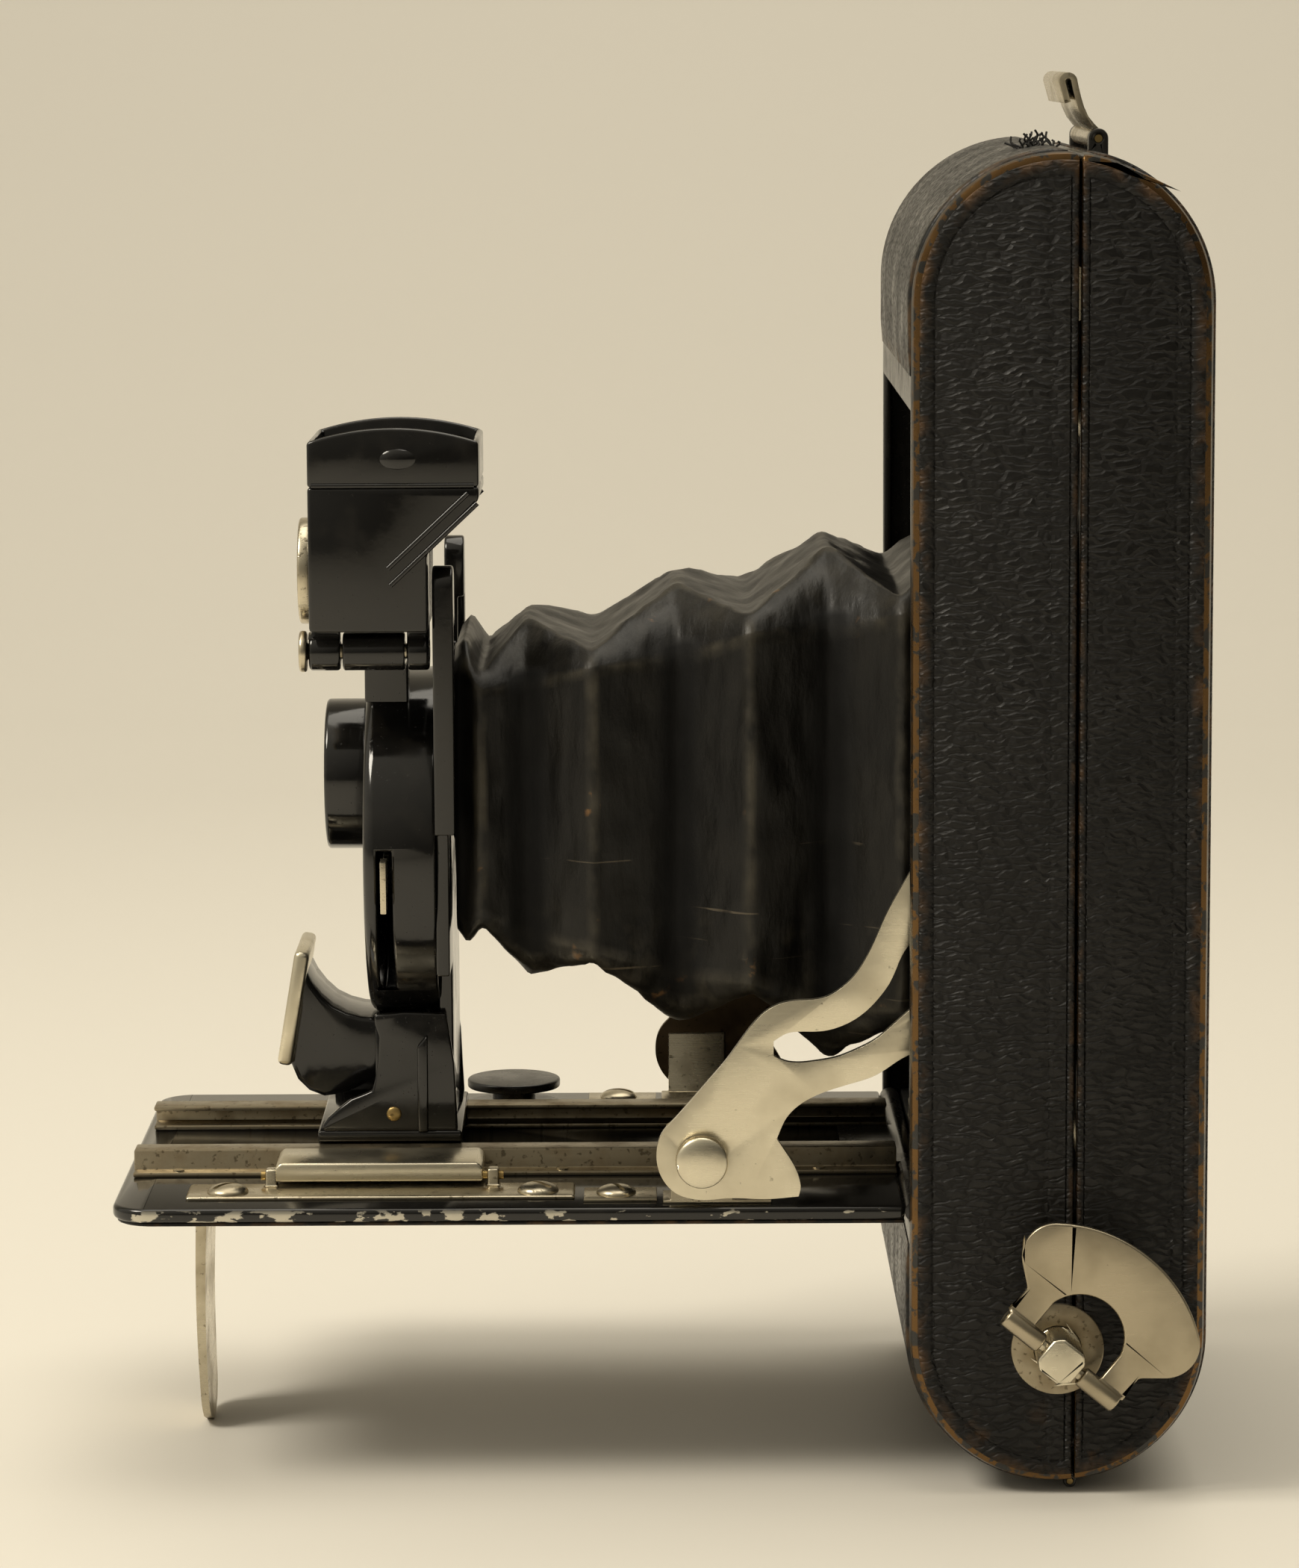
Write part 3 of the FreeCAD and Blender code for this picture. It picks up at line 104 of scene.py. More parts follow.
world = bpy.data.worlds.new("room")
bpy.context.scene.world = world
world.use_nodes = True
room = world.node_tree
background = room.nodes["Background"]
background.inputs["Color"].default_value = (0.86, 0.79, 0.64, 1)
way_out = room.nodes.new("ShaderNodeTexCoord")
towards = room.nodes.new("ShaderNodeVectorMath")
towards.operation = "DOT_PRODUCT"
towards.inputs[1].default_value = (-0.55, 0.30, 0.78)
brightness = room.nodes.new("ShaderNodeMapRange")
for name, value in (("From Min", -0.35), ("From Max", 0.9), ("To Min", 0.08), ("To Max", 0.78)):
    brightness.inputs[name].default_value = value
room.links.new(way_out.outputs["Generated"], towards.inputs[0])
room.links.new(towards.outputs["Value"], brightness.inputs["Value"])
room.links.new(brightness.outputs["Result"], background.inputs["Strength"])

table_height = cad_box[0][2]
wall_start = 0.60
bend = 0.50
run = [(-1.6, 0), (wall_start, 0)]
for step in range(1, 11):
    turn = math.radians(9 * step)
    run.append((wall_start + bend * math.sin(turn), bend - bend * math.cos(turn)))
run.append((wall_start + bend, 2.2))
sweep = bmesh.new()
rows = [[sweep.verts.new((x, y, table_height + z)) for x in (-2.5, 2.5)] for y, z in run]
for first, second in zip(rows, rows[1:]):
    face = sweep.faces.new((first[0], first[1], second[1], second[0]))
    face.smooth = True
backdrop_mesh = bpy.data.meshes.new("table")
sweep.to_mesh(backdrop_mesh)
sweep.free()
backdrop = bpy.data.objects.new("table", backdrop_mesh)
bpy.context.scene.collection.objects.link(backdrop)
paper = bpy.data.materials.new("table_paper")
paper.use_nodes = True
paper.node_tree.nodes["Principled BSDF"].inputs["Base Color"].default_value = (0.78, 0.745, 0.67, 1)
paper.node_tree.nodes["Principled BSDF"].inputs["Roughness"].default_value = 0.5
backdrop_mesh.materials.append(paper)


# ---- Case, front half: a thin metal shell with round ends, black inside and out.
# The side panels are grained leather glued on just short of the edge, where the paint of the metal rim
# has rubbed brown; the round ends and the front above and below the bed carry smoother leather.
def part(tree, kind, links=None, **settings):
    """Adds a shader node; links gives its inputs, each a value or another node's output."""
    made = tree.nodes.new(kind)
    for name, value in settings.items():
        setattr(made, name, value)
    for socket, value in (links or {}).items():
        if isinstance(value, bpy.types.NodeSocket):
            tree.links.new(value, made.inputs[socket])
        else:
            made.inputs[socket].default_value = value
    return made


def start_finish(name):
    """An empty material: its tree, its main shader, and object coordinates in millimetres."""
    made = bpy.data.materials.new(name)
    made.use_nodes = True
    tree = made.node_tree
    place = part(tree, "ShaderNodeTexCoord")
    scaled = part(tree, "ShaderNodeMapping", {"Vector": place.outputs["Object"],
                                              "Scale": (1 / mm, 1 / mm, 1 / mm)})
    return made, tree, tree.nodes["Principled BSDF"], scaled.outputs["Vector"]


def cloud(tree, coords, size, detail=3):
    """Plain noise of a given size in millimetres."""
    made = part(tree, "ShaderNodeTexNoise", {"Vector": coords, "Scale": 1 / size, "Detail": detail})
    return made.outputs["Fac"]


def stretched(tree, amount, low, high, first=0.0, last=1.0):
    """Maps low..high to first..last, clamped."""
    made = part(tree, "ShaderNodeMapRange", {"Value": amount, "From Min": low, "From Max": high,
                                             "To Min": first, "To Max": last})
    return made.outputs["Result"]


def blotches(tree, coords, size, detail, low, high):
    """Noise stretched between two thresholds to run from 0 to 1."""
    return stretched(tree, cloud(tree, coords, size, detail), low, high)


def sums(tree, kind, first, second):
    return part(tree, "ShaderNodeMath", {0: first, 1: second}, operation=kind).outputs["Value"]


def mixed(tree, amount, first, second):
    """A colour that goes from the first to the second as the amount goes from 0 to 1."""
    made = part(tree, "ShaderNodeMix", {"Factor": amount}, data_type="RGBA")
    for socket, value in ((made.inputs[6], first), (made.inputs[7], second)):
        if isinstance(value, bpy.types.NodeSocket):
            tree.links.new(value, socket)
        else:
            socket.default_value = (*value, 1)
    return made.outputs[2]


def bumped(tree, height, strength, distance, before=None):
    made = part(tree, "ShaderNodeBump", {"Height": height, "Strength": strength, "Distance": distance})
    if before:
        tree.links.new(before, made.inputs["Normal"])
    return made.outputs["Normal"]


def rub(tree):
    """How far an edge stands out to be rubbed, as the mesh records it."""
    return part(tree, "ShaderNodeAttribute", attribute_name="wear").outputs["Fac"]


def leather(name, colour, worn_colour, grain, depth, roughness):
    """Grained leather: wrinkles that run across, fine pores, brown where it is rubbed or scuffed."""
    made, tree, shader, coords = start_finish(name)
    sway = part(tree, "ShaderNodeTexNoise", {"Vector": coords, "Scale": 0.35, "Detail": 2})
    swayed = part(tree, "ShaderNodeVectorMath", {0: sway.outputs["Color"], 1: (1.6, 1.6, 1.6)},
                  operation="MULTIPLY")
    bent = part(tree, "ShaderNodeVectorMath", {0: coords, 1: swayed.outputs["Vector"]}, operation="ADD")
    squeezed = part(tree, "ShaderNodeMapping", {"Vector": bent.outputs["Vector"], "Rotation": (0, 0.12, 0),
                                                "Scale": grain})
    cells = part(tree, "ShaderNodeTexVoronoi", {"Vector": squeezed.outputs["Vector"], "Scale": 1.0},
                 feature="DISTANCE_TO_EDGE")
    crack = stretched(tree, cells.outputs["Distance"], 0.0, 0.22)
    fine = part(tree, "ShaderNodeMapping", {"Vector": bent.outputs["Vector"],
                                            "Scale": tuple(2.6 * g for g in grain)})
    pores = part(tree, "ShaderNodeTexVoronoi", {"Vector": fine.outputs["Vector"], "Scale": 1.0}, feature="F1")
    folds = part(tree, "ShaderNodeTexNoise", {"Vector": squeezed.outputs["Vector"], "Scale": 0.5, "Detail": 4})
    rubbed = rub(tree)
    tone = mixed(tree, blotches(tree, coords, 14, 5, 0.4, 0.75), colour, tuple(1.4 * c for c in colour))
    stain = sums(tree, "MULTIPLY", rubbed, blotches(tree, coords, 3.2, 5, 0.46, 0.70))
    height = part(tree, "ShaderNodeSeparateXYZ", {"Vector": coords}).outputs["Z"]
    scuffs = sums(tree, "MULTIPLY", stretched(tree, height, -22, -30),
                  blotches(tree, coords, 5, 6, 0.56, 0.68))
    stain = sums(tree, "MAXIMUM", stain, stretched(tree, scuffs, 0, 1, 0, 0.7))
    tree.links.new(mixed(tree, stain, tone, worn_colour), shader.inputs["Base Color"])
    shine = blotches(tree, coords, 7, 4, 0.35, 0.7)
    rough = sums(tree, "ADD", stretched(tree, shine, 0, 1, roughness + 0.1, roughness - 0.08),
                 stretched(tree, crack, 0, 1, 0.25, 0))
    tree.links.new(rough, shader.inputs["Roughness"])
    shader.inputs["Specular IOR Level"].default_value = 0.30
    level = bumped(tree, folds.outputs["Fac"], 0.5, depth * 1.6 * mm)
    level = bumped(tree, crack, 0.9, depth * mm, level)
    level = bumped(tree, pores.outputs["Distance"], 0.5, -depth * 0.4 * mm, level)
    tree.links.new(level, shader.inputs["Normal"])
    return made


def enamel(name, colour, roughness, worn_colour, wear_low=0.5):
    """Gloss black enamel: faint orange peel, a little dust, and bare metal where edges are rubbed."""
    made, tree, shader, coords = start_finish(name)
    dust = blotches(tree, coords, 5, 6, 0.5, 0.85)
    shown = mixed(tree, stretched(tree, dust, 0, 1, 0, 0.35), colour, (0.030, 0.026, 0.020))
    bare = sums(tree, "MULTIPLY", rub(tree), blotches(tree, coords, 1.6, 5, wear_low, wear_low + 0.06))
    tree.links.new(mixed(tree, bare, shown, worn_colour), shader.inputs["Base Color"])
    tree.links.new(stretched(tree, bare, 0, 1, 0, 0.9), shader.inputs["Metallic"])
    specks = blotches(tree, coords, 0.5, 2, 0.68, 0.72)
    rough = sums(tree, "ADD", stretched(tree, dust, 0, 1, roughness, roughness + 0.22),
                 stretched(tree, specks, 0, 1, 0, 0.2))
    tree.links.new(rough, shader.inputs["Roughness"])
    tree.links.new(bumped(tree, cloud(tree, coords, 1.1, 2), 0.06, 0.1 * mm), shader.inputs["Normal"])
    shader.inputs["Specular IOR Level"].default_value = 0.62
    return made


def put(name, mesh, *finishes):
    """Links a finished mesh under a name, with its materials."""
    for finish in finishes:
        mesh.materials.append(finish)
    made = bpy.data.objects.new(name, mesh)
    bpy.context.scene.collection.objects.link(made)
    return made


def settled(thing):
    """Turns an object with modifiers into one plain mesh."""
    bpy.context.view_layer.update()
    graph = bpy.context.evaluated_depsgraph_get()
    plain = bpy.data.meshes.new_from_object(thing.evaluated_get(graph))
    thing.modifiers.clear()
    thing.data = plain
    return thing


def face_outwards(work):
    """Turns the faces of each closed part of a mesh outwards, thin shells among them."""
    bmesh.ops.recalc_face_normals(work, faces=work.faces)
    waiting = set(work.faces)
    while waiting:
        island = [waiting.pop()]
        for face in island:
            for edge in face.edges:
                for other in edge.link_faces:
                    if other in waiting:
                        waiting.discard(other)
                        island.append(other)
        if sum(face.calc_center_median().dot(face.normal) * face.calc_area() for face in island) < 0:
            bmesh.ops.reverse_faces(work, faces=island)


def finish_edges(mesh, degrees=38):
    """Smooth faces with sharp edges past an angle, and a wear value on the vertices of outer edges."""
    work = bmesh.new()
    work.from_mesh(mesh)
    face_outwards(work)
    for face in work.faces:
        face.smooth = True
    for edge in work.edges:
        edge.smooth = len(edge.link_faces) != 2 or edge.calc_face_angle(0) < math.radians(degrees)
    worn = work.verts.layers.float.get("wear") or work.verts.layers.float.new("wear")
    for vert in work.verts:
        turns = [edge.calc_face_angle_signed(0) for edge in vert.link_edges if len(edge.link_faces) == 2]
        if turns and max(turns) > math.radians(17):
            vert[worn] = 1.0
    work.to_mesh(mesh)
    work.free()


def solid_mesh(name, rings, caps=True):
    """Skins equal closed rings of points, given in millimetres, into a mesh; caps fills its ends."""
    work = bmesh.new()
    made = [[work.verts.new(Vector(point) * mm) for point in ring] for ring in rings]
    count = len(made[0])
    for first, second in zip(made, made[1:]):
        for index in range(count):
            after = (index + 1) % count
            work.faces.new((first[index], first[after], second[after], second[index]))
    if caps:
        work.faces.new(made[0][::-1])
        work.faces.new(made[-1])
    bmesh.ops.recalc_face_normals(work, faces=work.faces)
    mesh = bpy.data.meshes.new(name)
    work.to_mesh(mesh)
    work.free()
    return mesh


def twice_covered(mesh):
    """Whether a flat face with a hole has been filled across the hole."""
    mesh.calc_loop_triangles()
    filled = sum(triangle.area for triangle in mesh.loop_triangles)
    return filled > 1.004 * sum(face.area for face in mesh.polygons)


flat_angle = math.radians(0.6)
corner_angle = math.radians(40)
same_place = 0.002 * mm


def rounded_over(name, node, finish, edge, segments=2, outer=None):
    """A copy of a frame node with its sharp edges rounded, riding on the same body in its place.
    outer = (test, width): edges that pass the test are rounded more. Flat faces are merged unless one
    with a hole would then be filled across."""
    for merge_flats in (True, False):
        work = bmesh.new()
        work.from_mesh(frame["nodes"][node].data)
        bmesh.ops.remove_doubles(work, verts=work.verts, dist=same_place)
        if merge_flats:
            bmesh.ops.dissolve_limit(work, angle_limit=flat_angle, verts=work.verts, edges=work.edges)
        weight = work.edges.layers.float.new("bevel_weight_edge")
        for sharp in work.edges:
            if len(sharp.link_faces) == 2 and sharp.calc_face_angle(0) > corner_angle:
                sharp[weight] = 1.0
                if outer and not all(outer[0](vert.co / mm) for vert in sharp.verts):
                    sharp[weight] = edge / outer[1]
        mesh = bpy.data.meshes.new(name)
        work.to_mesh(mesh)
        work.free()
        mesh.materials.clear()
        made = put(name, mesh, finish)
        bevel = made.modifiers.new("edges", "BEVEL")
        bevel.width = (outer[1] if outer else edge) * mm
        bevel.segments = segments
        bevel.limit_method = "WEIGHT"
        bevel.use_clamp_overlap = False
        settled(made)
        if not merge_flats or not twice_covered(made.data):
            break
        bpy.data.objects.remove(made)
    made.name = name
    finish_edges(made.data)
    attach(made, node_bodies[node])
    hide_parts(node)
    return made


frame_slots = {entry["node"]: entry["material_slot"] for entry in frame["record"]["subparts"]}
node_bodies = {node: body for body, held in frame["record"]["behaviour"]["bodies"].items() for node in held}

side_leather = leather("side_leather", (0.0050, 0.0045, 0.004), (0.10, 0.052, 0.02),
                       grain=(0.30, 0.85, 1.05), depth=0.20, roughness=0.40)
smooth_leather = leather("smooth_leather", (0.006, 0.0056, 0.005), (0.09, 0.05, 0.02),
                         grain=(0.9, 0.9, 0.9), depth=0.012, roughness=0.3)
rim_black = enamel("rim_black", (0.010, 0.009, 0.007), 0.26, (0.16, 0.09, 0.035), 0.44)
matt_black = enamel("inside_black", (0.008, 0.008, 0.008), 0.6, (0.05, 0.05, 0.05), 0.9)

low_corner, high_corner = [Vector(corner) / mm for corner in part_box("front_case")]
case_side = high_corner.y
case_front = low_corner.x
back_box = [Vector(corner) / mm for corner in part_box("red_window")]
case_back = back_box[1].x
end_radius = (case_back - case_front) / 2
middle_x = (case_back + case_front) / 2
case_height = 171
end_high = high_corner.z - end_radius
end_low = high_corner.z - case_height + end_radius
seam_behind_middle = 2.15
seam = middle_x + seam_behind_middle
skin = 0.4
arc_steps, straight_steps = 26, 44


def outline(half, inset, seam_gap):
    """Half of the case's round-ended outline from the seam's top round to the seam's bottom, then up
    the seam. half is -1 for the front and 1 for the back."""
    radius = end_radius - inset
    first = math.asin((half * (seam - middle_x) + seam_gap) / radius)
    arc = []
    for step in range(arc_steps + 1):
        turn = first + (math.pi / 2 - first) * step / arc_steps
        arc.append((half * radius * math.sin(turn), radius * math.cos(turn)))
    shares = [step / straight_steps for step in range(1, straight_steps)]
    points = [(middle_x + x, end_high + z) for x, z in arc]
    points += [(middle_x + half * radius, end_high + (end_low - end_high) * share) for share in shares]
    points += [(middle_x + x, end_low - z) for x, z in arc[::-1]]
    top, bottom = points[0], points[-1]
    points += [(top[0], bottom[1] + (top[1] - bottom[1]) * share) for share in shares]
    return points


def side_panel(name, half, side, line, body):
    """A leather panel on one side of one half: a glued edge, a line pressed along it, and an upright line."""
    # distance in from the case's edge, distance from the seam, and height above the metal
    border = ((1.0, 0.25, -0.3), (1.0, 0.25, 0.1), (1.15, 0.35, 0.3), (1.6, 0.6, skin),
              (2.6, 1.0, skin - 0.03), (2.9, 1.15, skin - 0.2), (3.2, 1.3, skin - 0.02))
    rings = [[(x, side * (case_side + lift), z) for x, z in outline(half, inset, gap)]
             for inset, gap, lift in border]
    mesh = solid_mesh(name, rings)
    work = bmesh.new()
    work.from_mesh(mesh)
    line_half_width, line_depth = 0.55, 0.17
    for offset in (-line_half_width, 0, line_half_width):
        geometry = work.verts[:] + work.edges[:] + work.faces[:]
        bmesh.ops.bisect_plane(work, geom=geometry, dist=1e-6, plane_co=((line + offset) * mm, 0, 0),
                               plane_no=(1, 0, 0))
    for vert in work.verts:
        on_line = abs(vert.co.x / mm - line) < 0.02
        if on_line and abs(vert.co.y) / mm > case_side + 0.3:
            vert.co.y -= side * line_depth * mm
    worn = work.verts.layers.float.new("wear")
    for vert in work.verts:
        x, z = vert.co.x / mm, vert.co.z / mm
        inwards = end_radius - math.hypot(x - middle_x, max(z - end_high, end_low - z, 0))
        near_seam = 0.5 if abs(x - seam) < 0.8 else 0
        vert[worn] = max(1 - max(inwards - 1.0, 0) / 1.2, near_seam, 0)
    bmesh.ops.recalc_face_normals(work, faces=work.faces)
    for face in work.faces:
        face.smooth = True
    for edge in work.edges:
        edge.smooth = len(edge.link_faces) != 2 or edge.calc_face_angle(0) < math.radians(50)
    work.to_mesh(mesh)
    work.free()
    made = put(name, mesh, side_leather)
    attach(made, body)
    return made


def end_band(name, half, start, stop, finish, body):
    """Leather round an end, from one step of the outline to another, with soft glued edges."""
    margin = 1.6
    path = outline(half, 0, 0.35)[start:stop]
    profile = [(-case_side + margin, -0.3)]
    profile += [(-case_side + margin + 0.1, 0.2), (-case_side + margin + 0.6, skin)]
    profile += [(y, skin) for y in [case_side * step / 8 for step in range(-7, 8)]]
    profile += [(-y, lift) for y, lift in profile[2::-1]]
    rings = []
    for index, (x, z) in enumerate(path):
        out = Vector((x - middle_x, z - min(max(z, end_low), end_high))).normalized()
        most = 0.15 if index in (0, len(path) - 1) else skin
        lifts = [(y, min(lift, most)) for y, lift in profile]
        rings.append([(x + out.x * lift, y, z + out.y * lift) for y, lift in lifts])
    mesh = solid_mesh(name, rings)
    finish_edges(mesh, 60)
    made = put(name, mesh, finish)
    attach(made, body)
    return made


def on_outline(place):
    """Whether a place in millimetres is on the case's outer edge."""
    past = place.z - min(max(place.z, end_low), end_high)
    return abs(place.y) > case_side - 0.05 and math.hypot(place.x - middle_x, past) > end_radius - 0.08


def rim_wear_only(mesh):
    """Keeps the rubbed look on the outermost edge of the shell's sides."""
    worn = mesh.attributes["wear"].data
    for vert in mesh.vertices:
        if abs(vert.co.y) / mm < case_side - 0.55:
            worn[vert.index].value = 0


front_shell = rounded_over("front_shell", "front_case", rim_black, 0.3, 2, (on_outline, 1.0))
rim_wear_only(front_shell.data)
sides = {"near": -1, "far": 1}
for side_name, side in sides.items():
    panel = side_panel(f"front_side_leather_{side_name}", -1, side, seam - 3.5, "case")
    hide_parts("side_leathers")
step_length = (end_high - end_low) / straight_steps
mouth_top = arc_steps + int((end_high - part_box("gate_frame")[1].z / mm) / step_length)
mouth_base = arc_steps + int((end_high + 2) / step_length)
last_step = 2 * arc_steps + straight_steps
end_band("front_leather_upper", -1, 1, mouth_top, smooth_leather, "case")
end_band("front_leather_lower", -1, mouth_base + 1, last_step - 2, smooth_leather, "case")

# ---- Back: the other half of the shell, hinged at the foot, with its leather and its red window.
# The leather of the flat back and its ends is one piece, glued down short of the edges.
back_shell = rounded_over("back_shell", "back_cover", rim_black, 0.3, 2, (on_outline, 1.0))
rim_wear_only(back_shell.data)
for side_name, side in sides.items():
    panel = side_panel(f"back_side_leather_{side_name}", 1, side, seam + 12.3, "back_cover")
    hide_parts("cover_leathers")
band = end_band("back_leather", 1, 2, last_step - 1, side_leather, "back_cover")
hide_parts("cover_leathers")


def turned(name, profile, axis, centre, sides=48):
    """A turned piece: (along, radius) pairs spun round an axis through a centre, all in millimetres."""
    along = Vector(axis)
    across = along.orthogonal().normalized()
    other = along.cross(across)
    rings = []
    for step in range(sides):
        turn = math.tau * step / sides
        out = across * math.cos(turn) + other * math.sin(turn)
        rings.append([Vector(centre) + along * reach + out * radius for reach, radius in profile])
    work = bmesh.new()
    made = [[work.verts.new(point * mm) for point in ring] for ring in rings]
    count = len(profile)
    for index, ring in enumerate(made):
        following = made[(index + 1) % sides]
        for low in range(count):
            high = (low + 1) % count
            work.faces.new((ring[low], ring[high], following[high], following[low]))
    bmesh.ops.remove_doubles(work, verts=work.verts, dist=0.001 * mm)
    bmesh.ops.dissolve_degenerate(work, edges=work.edges, dist=0.001 * mm)
    bmesh.ops.recalc_face_normals(work, faces=work.faces)
    mesh = bpy.data.meshes.new(name)
    work.to_mesh(mesh)
    work.free()
    finish_edges(mesh)
    return mesh


def ride_as(thing, node):
    """The piece stands for a frame node, and takes its body."""
    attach(thing, node_bodies[node])
    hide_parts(node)


window_middle = [(low + high) / 2 for low, high in zip(*back_box)]
window_radius = (back_box[1].y - back_box[0].y) / 2
red, red_tree, red_shader, red_coords = start_finish("red_celluloid")
red_tone = mixed(red_tree, blotches(red_tree, red_coords, 3, 4, 0.3, 0.8), (0.20, 0.006, 0.003),
                 (0.09, 0.004, 0.003))
red_tree.links.new(red_tone, red_shader.inputs["Base Color"])
red_shader.inputs["Roughness"].default_value = 0.12
glass_radius = window_radius - 0.3
window_profile = [(-1.1, 0), (0.1, 0), (0.12, glass_radius - 0.9), (0.1, glass_radius), (-1.1, glass_radius)]
window_mesh = turned("red_window_glass", window_profile, (1, 0, 0),
                     (case_back, window_middle[1], window_middle[2]))
ride_as(put("red_window_glass", window_mesh, red), "red_window")

# ---- Back latch: a strip of nickelled sheet on a knuckle, its free end rolled over for the finger.
# The metals named here are those of the small fittings that follow too.
def metal(name, colour, tarnish, roughness, tarnish_size=6, spots=0.62):
    """Plated metal: hairline scratches, cloudy roughness and darker tarnish in patches and pits."""
    made, tree, shader, coords = start_finish(name)
    clouds = blotches(tree, coords, tarnish_size, 6, 0.46, 0.78)
    pits = blotches(tree, coords, 0.8, 3, spots, spots + 0.08)
    worn = mixed(tree, stretched(tree, clouds, 0, 1, 0, 0.8), colour, tarnish)
    shown = mixed(tree, stretched(tree, pits, 0, 1, 0, 0.65), worn, tuple(c * 0.35 for c in tarnish))
    tree.links.new(shown, shader.inputs["Base Color"])
    lines = part(tree, "ShaderNodeMapping", {"Vector": coords, "Rotation": (0.3, 0.5, 0.2),
                                             "Scale": (0.15, 0.15, 6)})
    hair = cloud(tree, lines.outputs["Vector"], 1, 4)
    rough = sums(tree, "ADD", stretched(tree, clouds, 0, 1, roughness, roughness + 0.2),
                 stretched(tree, hair, 0, 1, -0.05, 0.07))
    tree.links.new(rough, shader.inputs["Roughness"])
    dents = bumped(tree, cloud(tree, coords, 2.4), 0.10, 0.3 * mm)
    level = bumped(tree, pits, 0.25, -0.05 * mm, bumped(tree, hair, 0.05, 0.05 * mm, dents))
    tree.links.new(level, shader.inputs["Normal"])
    shader.inputs["Metallic"].default_value = 1
    return made


nickel = metal("nickel_plate", (0.60, 0.54, 0.41), (0.30, 0.24, 0.15), 0.26)
tarnished = metal("tarnished_nickel", (0.36, 0.31, 0.22), (0.20, 0.15, 0.085), 0.36, 4, 0.6)
satin = metal("satin_nickel", (0.74, 0.68, 0.53), (0.55, 0.49, 0.36), 0.27, 9, 0.7)
brass = metal("dull_brass", (0.42, 0.30, 0.12), (0.17, 0.11, 0.05), 0.34, 3, 0.6)
plain_steel = metal("plain_steel", (0.30, 0.29, 0.27), (0.13, 0.11, 0.08), 0.36)
gloss_black = enamel("gloss_black", (0.0050, 0.0047, 0.0043), 0.10, (0.20, 0.17, 0.12), 0.74)
blackened = enamel("blackened_brass", (0.010, 0.009, 0.008), 0.26, (0.26, 0.18, 0.08), 0.74)


latch_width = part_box("back_latch")[1].y / mm
latch_pin_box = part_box("latch_pin")
latch_root = [(latch_pin_box[0][axis] + latch_pin_box[1][axis]) / 2 / mm for axis in (0, 2)]
latch_roll = 0.8
latch_sheet = 0.8
latch_lean = [(0, 0.9), (-0.7, 1.6), (-1.5, 2.6), (-2.1, 3.9), (-2.5, 5.2), (-2.8, 6.4), (-3.0, 7.3)]
centre_line = [(latch_root[0] + x, latch_root[1] + z) for x, z in latch_lean]
curl_x, curl_z = centre_line[-1][0] - latch_roll, centre_line[-1][1]
for step in range(1, 13):
    turn = math.radians(15 * step)
    centre_line.append((curl_x + latch_roll * math.cos(turn), curl_z + latch_roll * math.sin(turn)))
centre_line += [(curl_x - latch_roll + 0.25 * step, curl_z - 0.9 * step) for step in (1, 2, 3)]
left_edge, right_edge = [], []
for index, (x, z) in enumerate(centre_line):
    before = centre_line[max(index - 1, 0)]
    after = centre_line[min(index + 1, len(centre_line) - 1)]
    way = Vector((after[0] - before[0], after[1] - before[1])).normalized()
    left_edge.append((x - way.y * latch_sheet / 2, z + way.x * latch_sheet / 2))
    right_edge.append((x + way.y * latch_sheet / 2, z - way.x * latch_sheet / 2))
strip = left_edge + right_edge[::-1]
strip_rings = [[(x, y, z) for x, z in strip] for y in (-latch_width, latch_width)]
latch_mesh = solid_mesh("back_latch_strip", strip_rings)
latch_strip = put("back_latch_strip", latch_mesh, nickel)
soften = latch_strip.modifiers.new("edges", "BEVEL")
soften.width = 0.18 * mm
soften.segments = 2
soften.angle_limit = math.radians(50)
settled(latch_strip)
finish_edges(latch_strip.data)
ride_as(latch_strip, "back_latch")
knuckle_profile = [(-latch_width, 0.5), (-latch_width, 1.3), (latch_width, 1.3), (latch_width, 0.5)]
knuckle_mesh = turned("back_latch_knuckle", knuckle_profile, (0, 1, 0), (latch_root[0], 0, latch_root[1]), 24)
latch_knuckle = put("back_latch_knuckle", knuckle_mesh, nickel)
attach(latch_knuckle, "back_latch")

# ---- Bellows: thin black leather over card stiffeners, folded into pleats that step out from the lens board
# to the film gate. Top and bottom fold out where the sides fold in, and each corner is mitred between.
# Each fold has its place along the camera, its top's and bottom's heights, its half width and its mitre.
bellows_form = [
    (-32.7, 72.0, 35.5, 18.5, 3.0), (-31.4, 74.3, 33.2, 19.5, 3.0), (-29.3, 69.6, 36.6, 22.0, 2.0),
    (-23.4, 75.9, 28.0, 18.2, 8.0), (-14.6, 72.9, 32.0, 25.4, 2.0), (-3.4, 80.4, 21.8, 20.0, 9.0),
    (5.9, 77.6, 28.2, 28.2, 2.0), (16.3, 85.2, 17.4, 23.0, 9.5), (25.4, 80.4, 24.6, 30.6, 2.2),
    (34.6, 88.5, 15.2, 26.0, 9.5), (43.5, 84.5, 19.5, 30.9, 2.2), (52.0, 96.6, 11.1, 30.0, 2.0),
]


def form_at(x, spread=0.55):
    """The bellows' sizes at a place, with the folds a little rounded."""
    total = [0.0] * 4
    for offset in (-1, -0.5, 0, 0.5, 1):
        here = min(max(x + offset * spread, bellows_form[0][0]), bellows_form[-1][0] - 1e-6)
        for first, second in zip(bellows_form, bellows_form[1:]):
            if first[0] <= here < second[0]:
                share = (here - first[0]) / (second[0] - first[0])
                for index in range(4):
                    total[index] += (first[index + 1] * (1 - share) + second[index + 1] * share) / 5
    return total


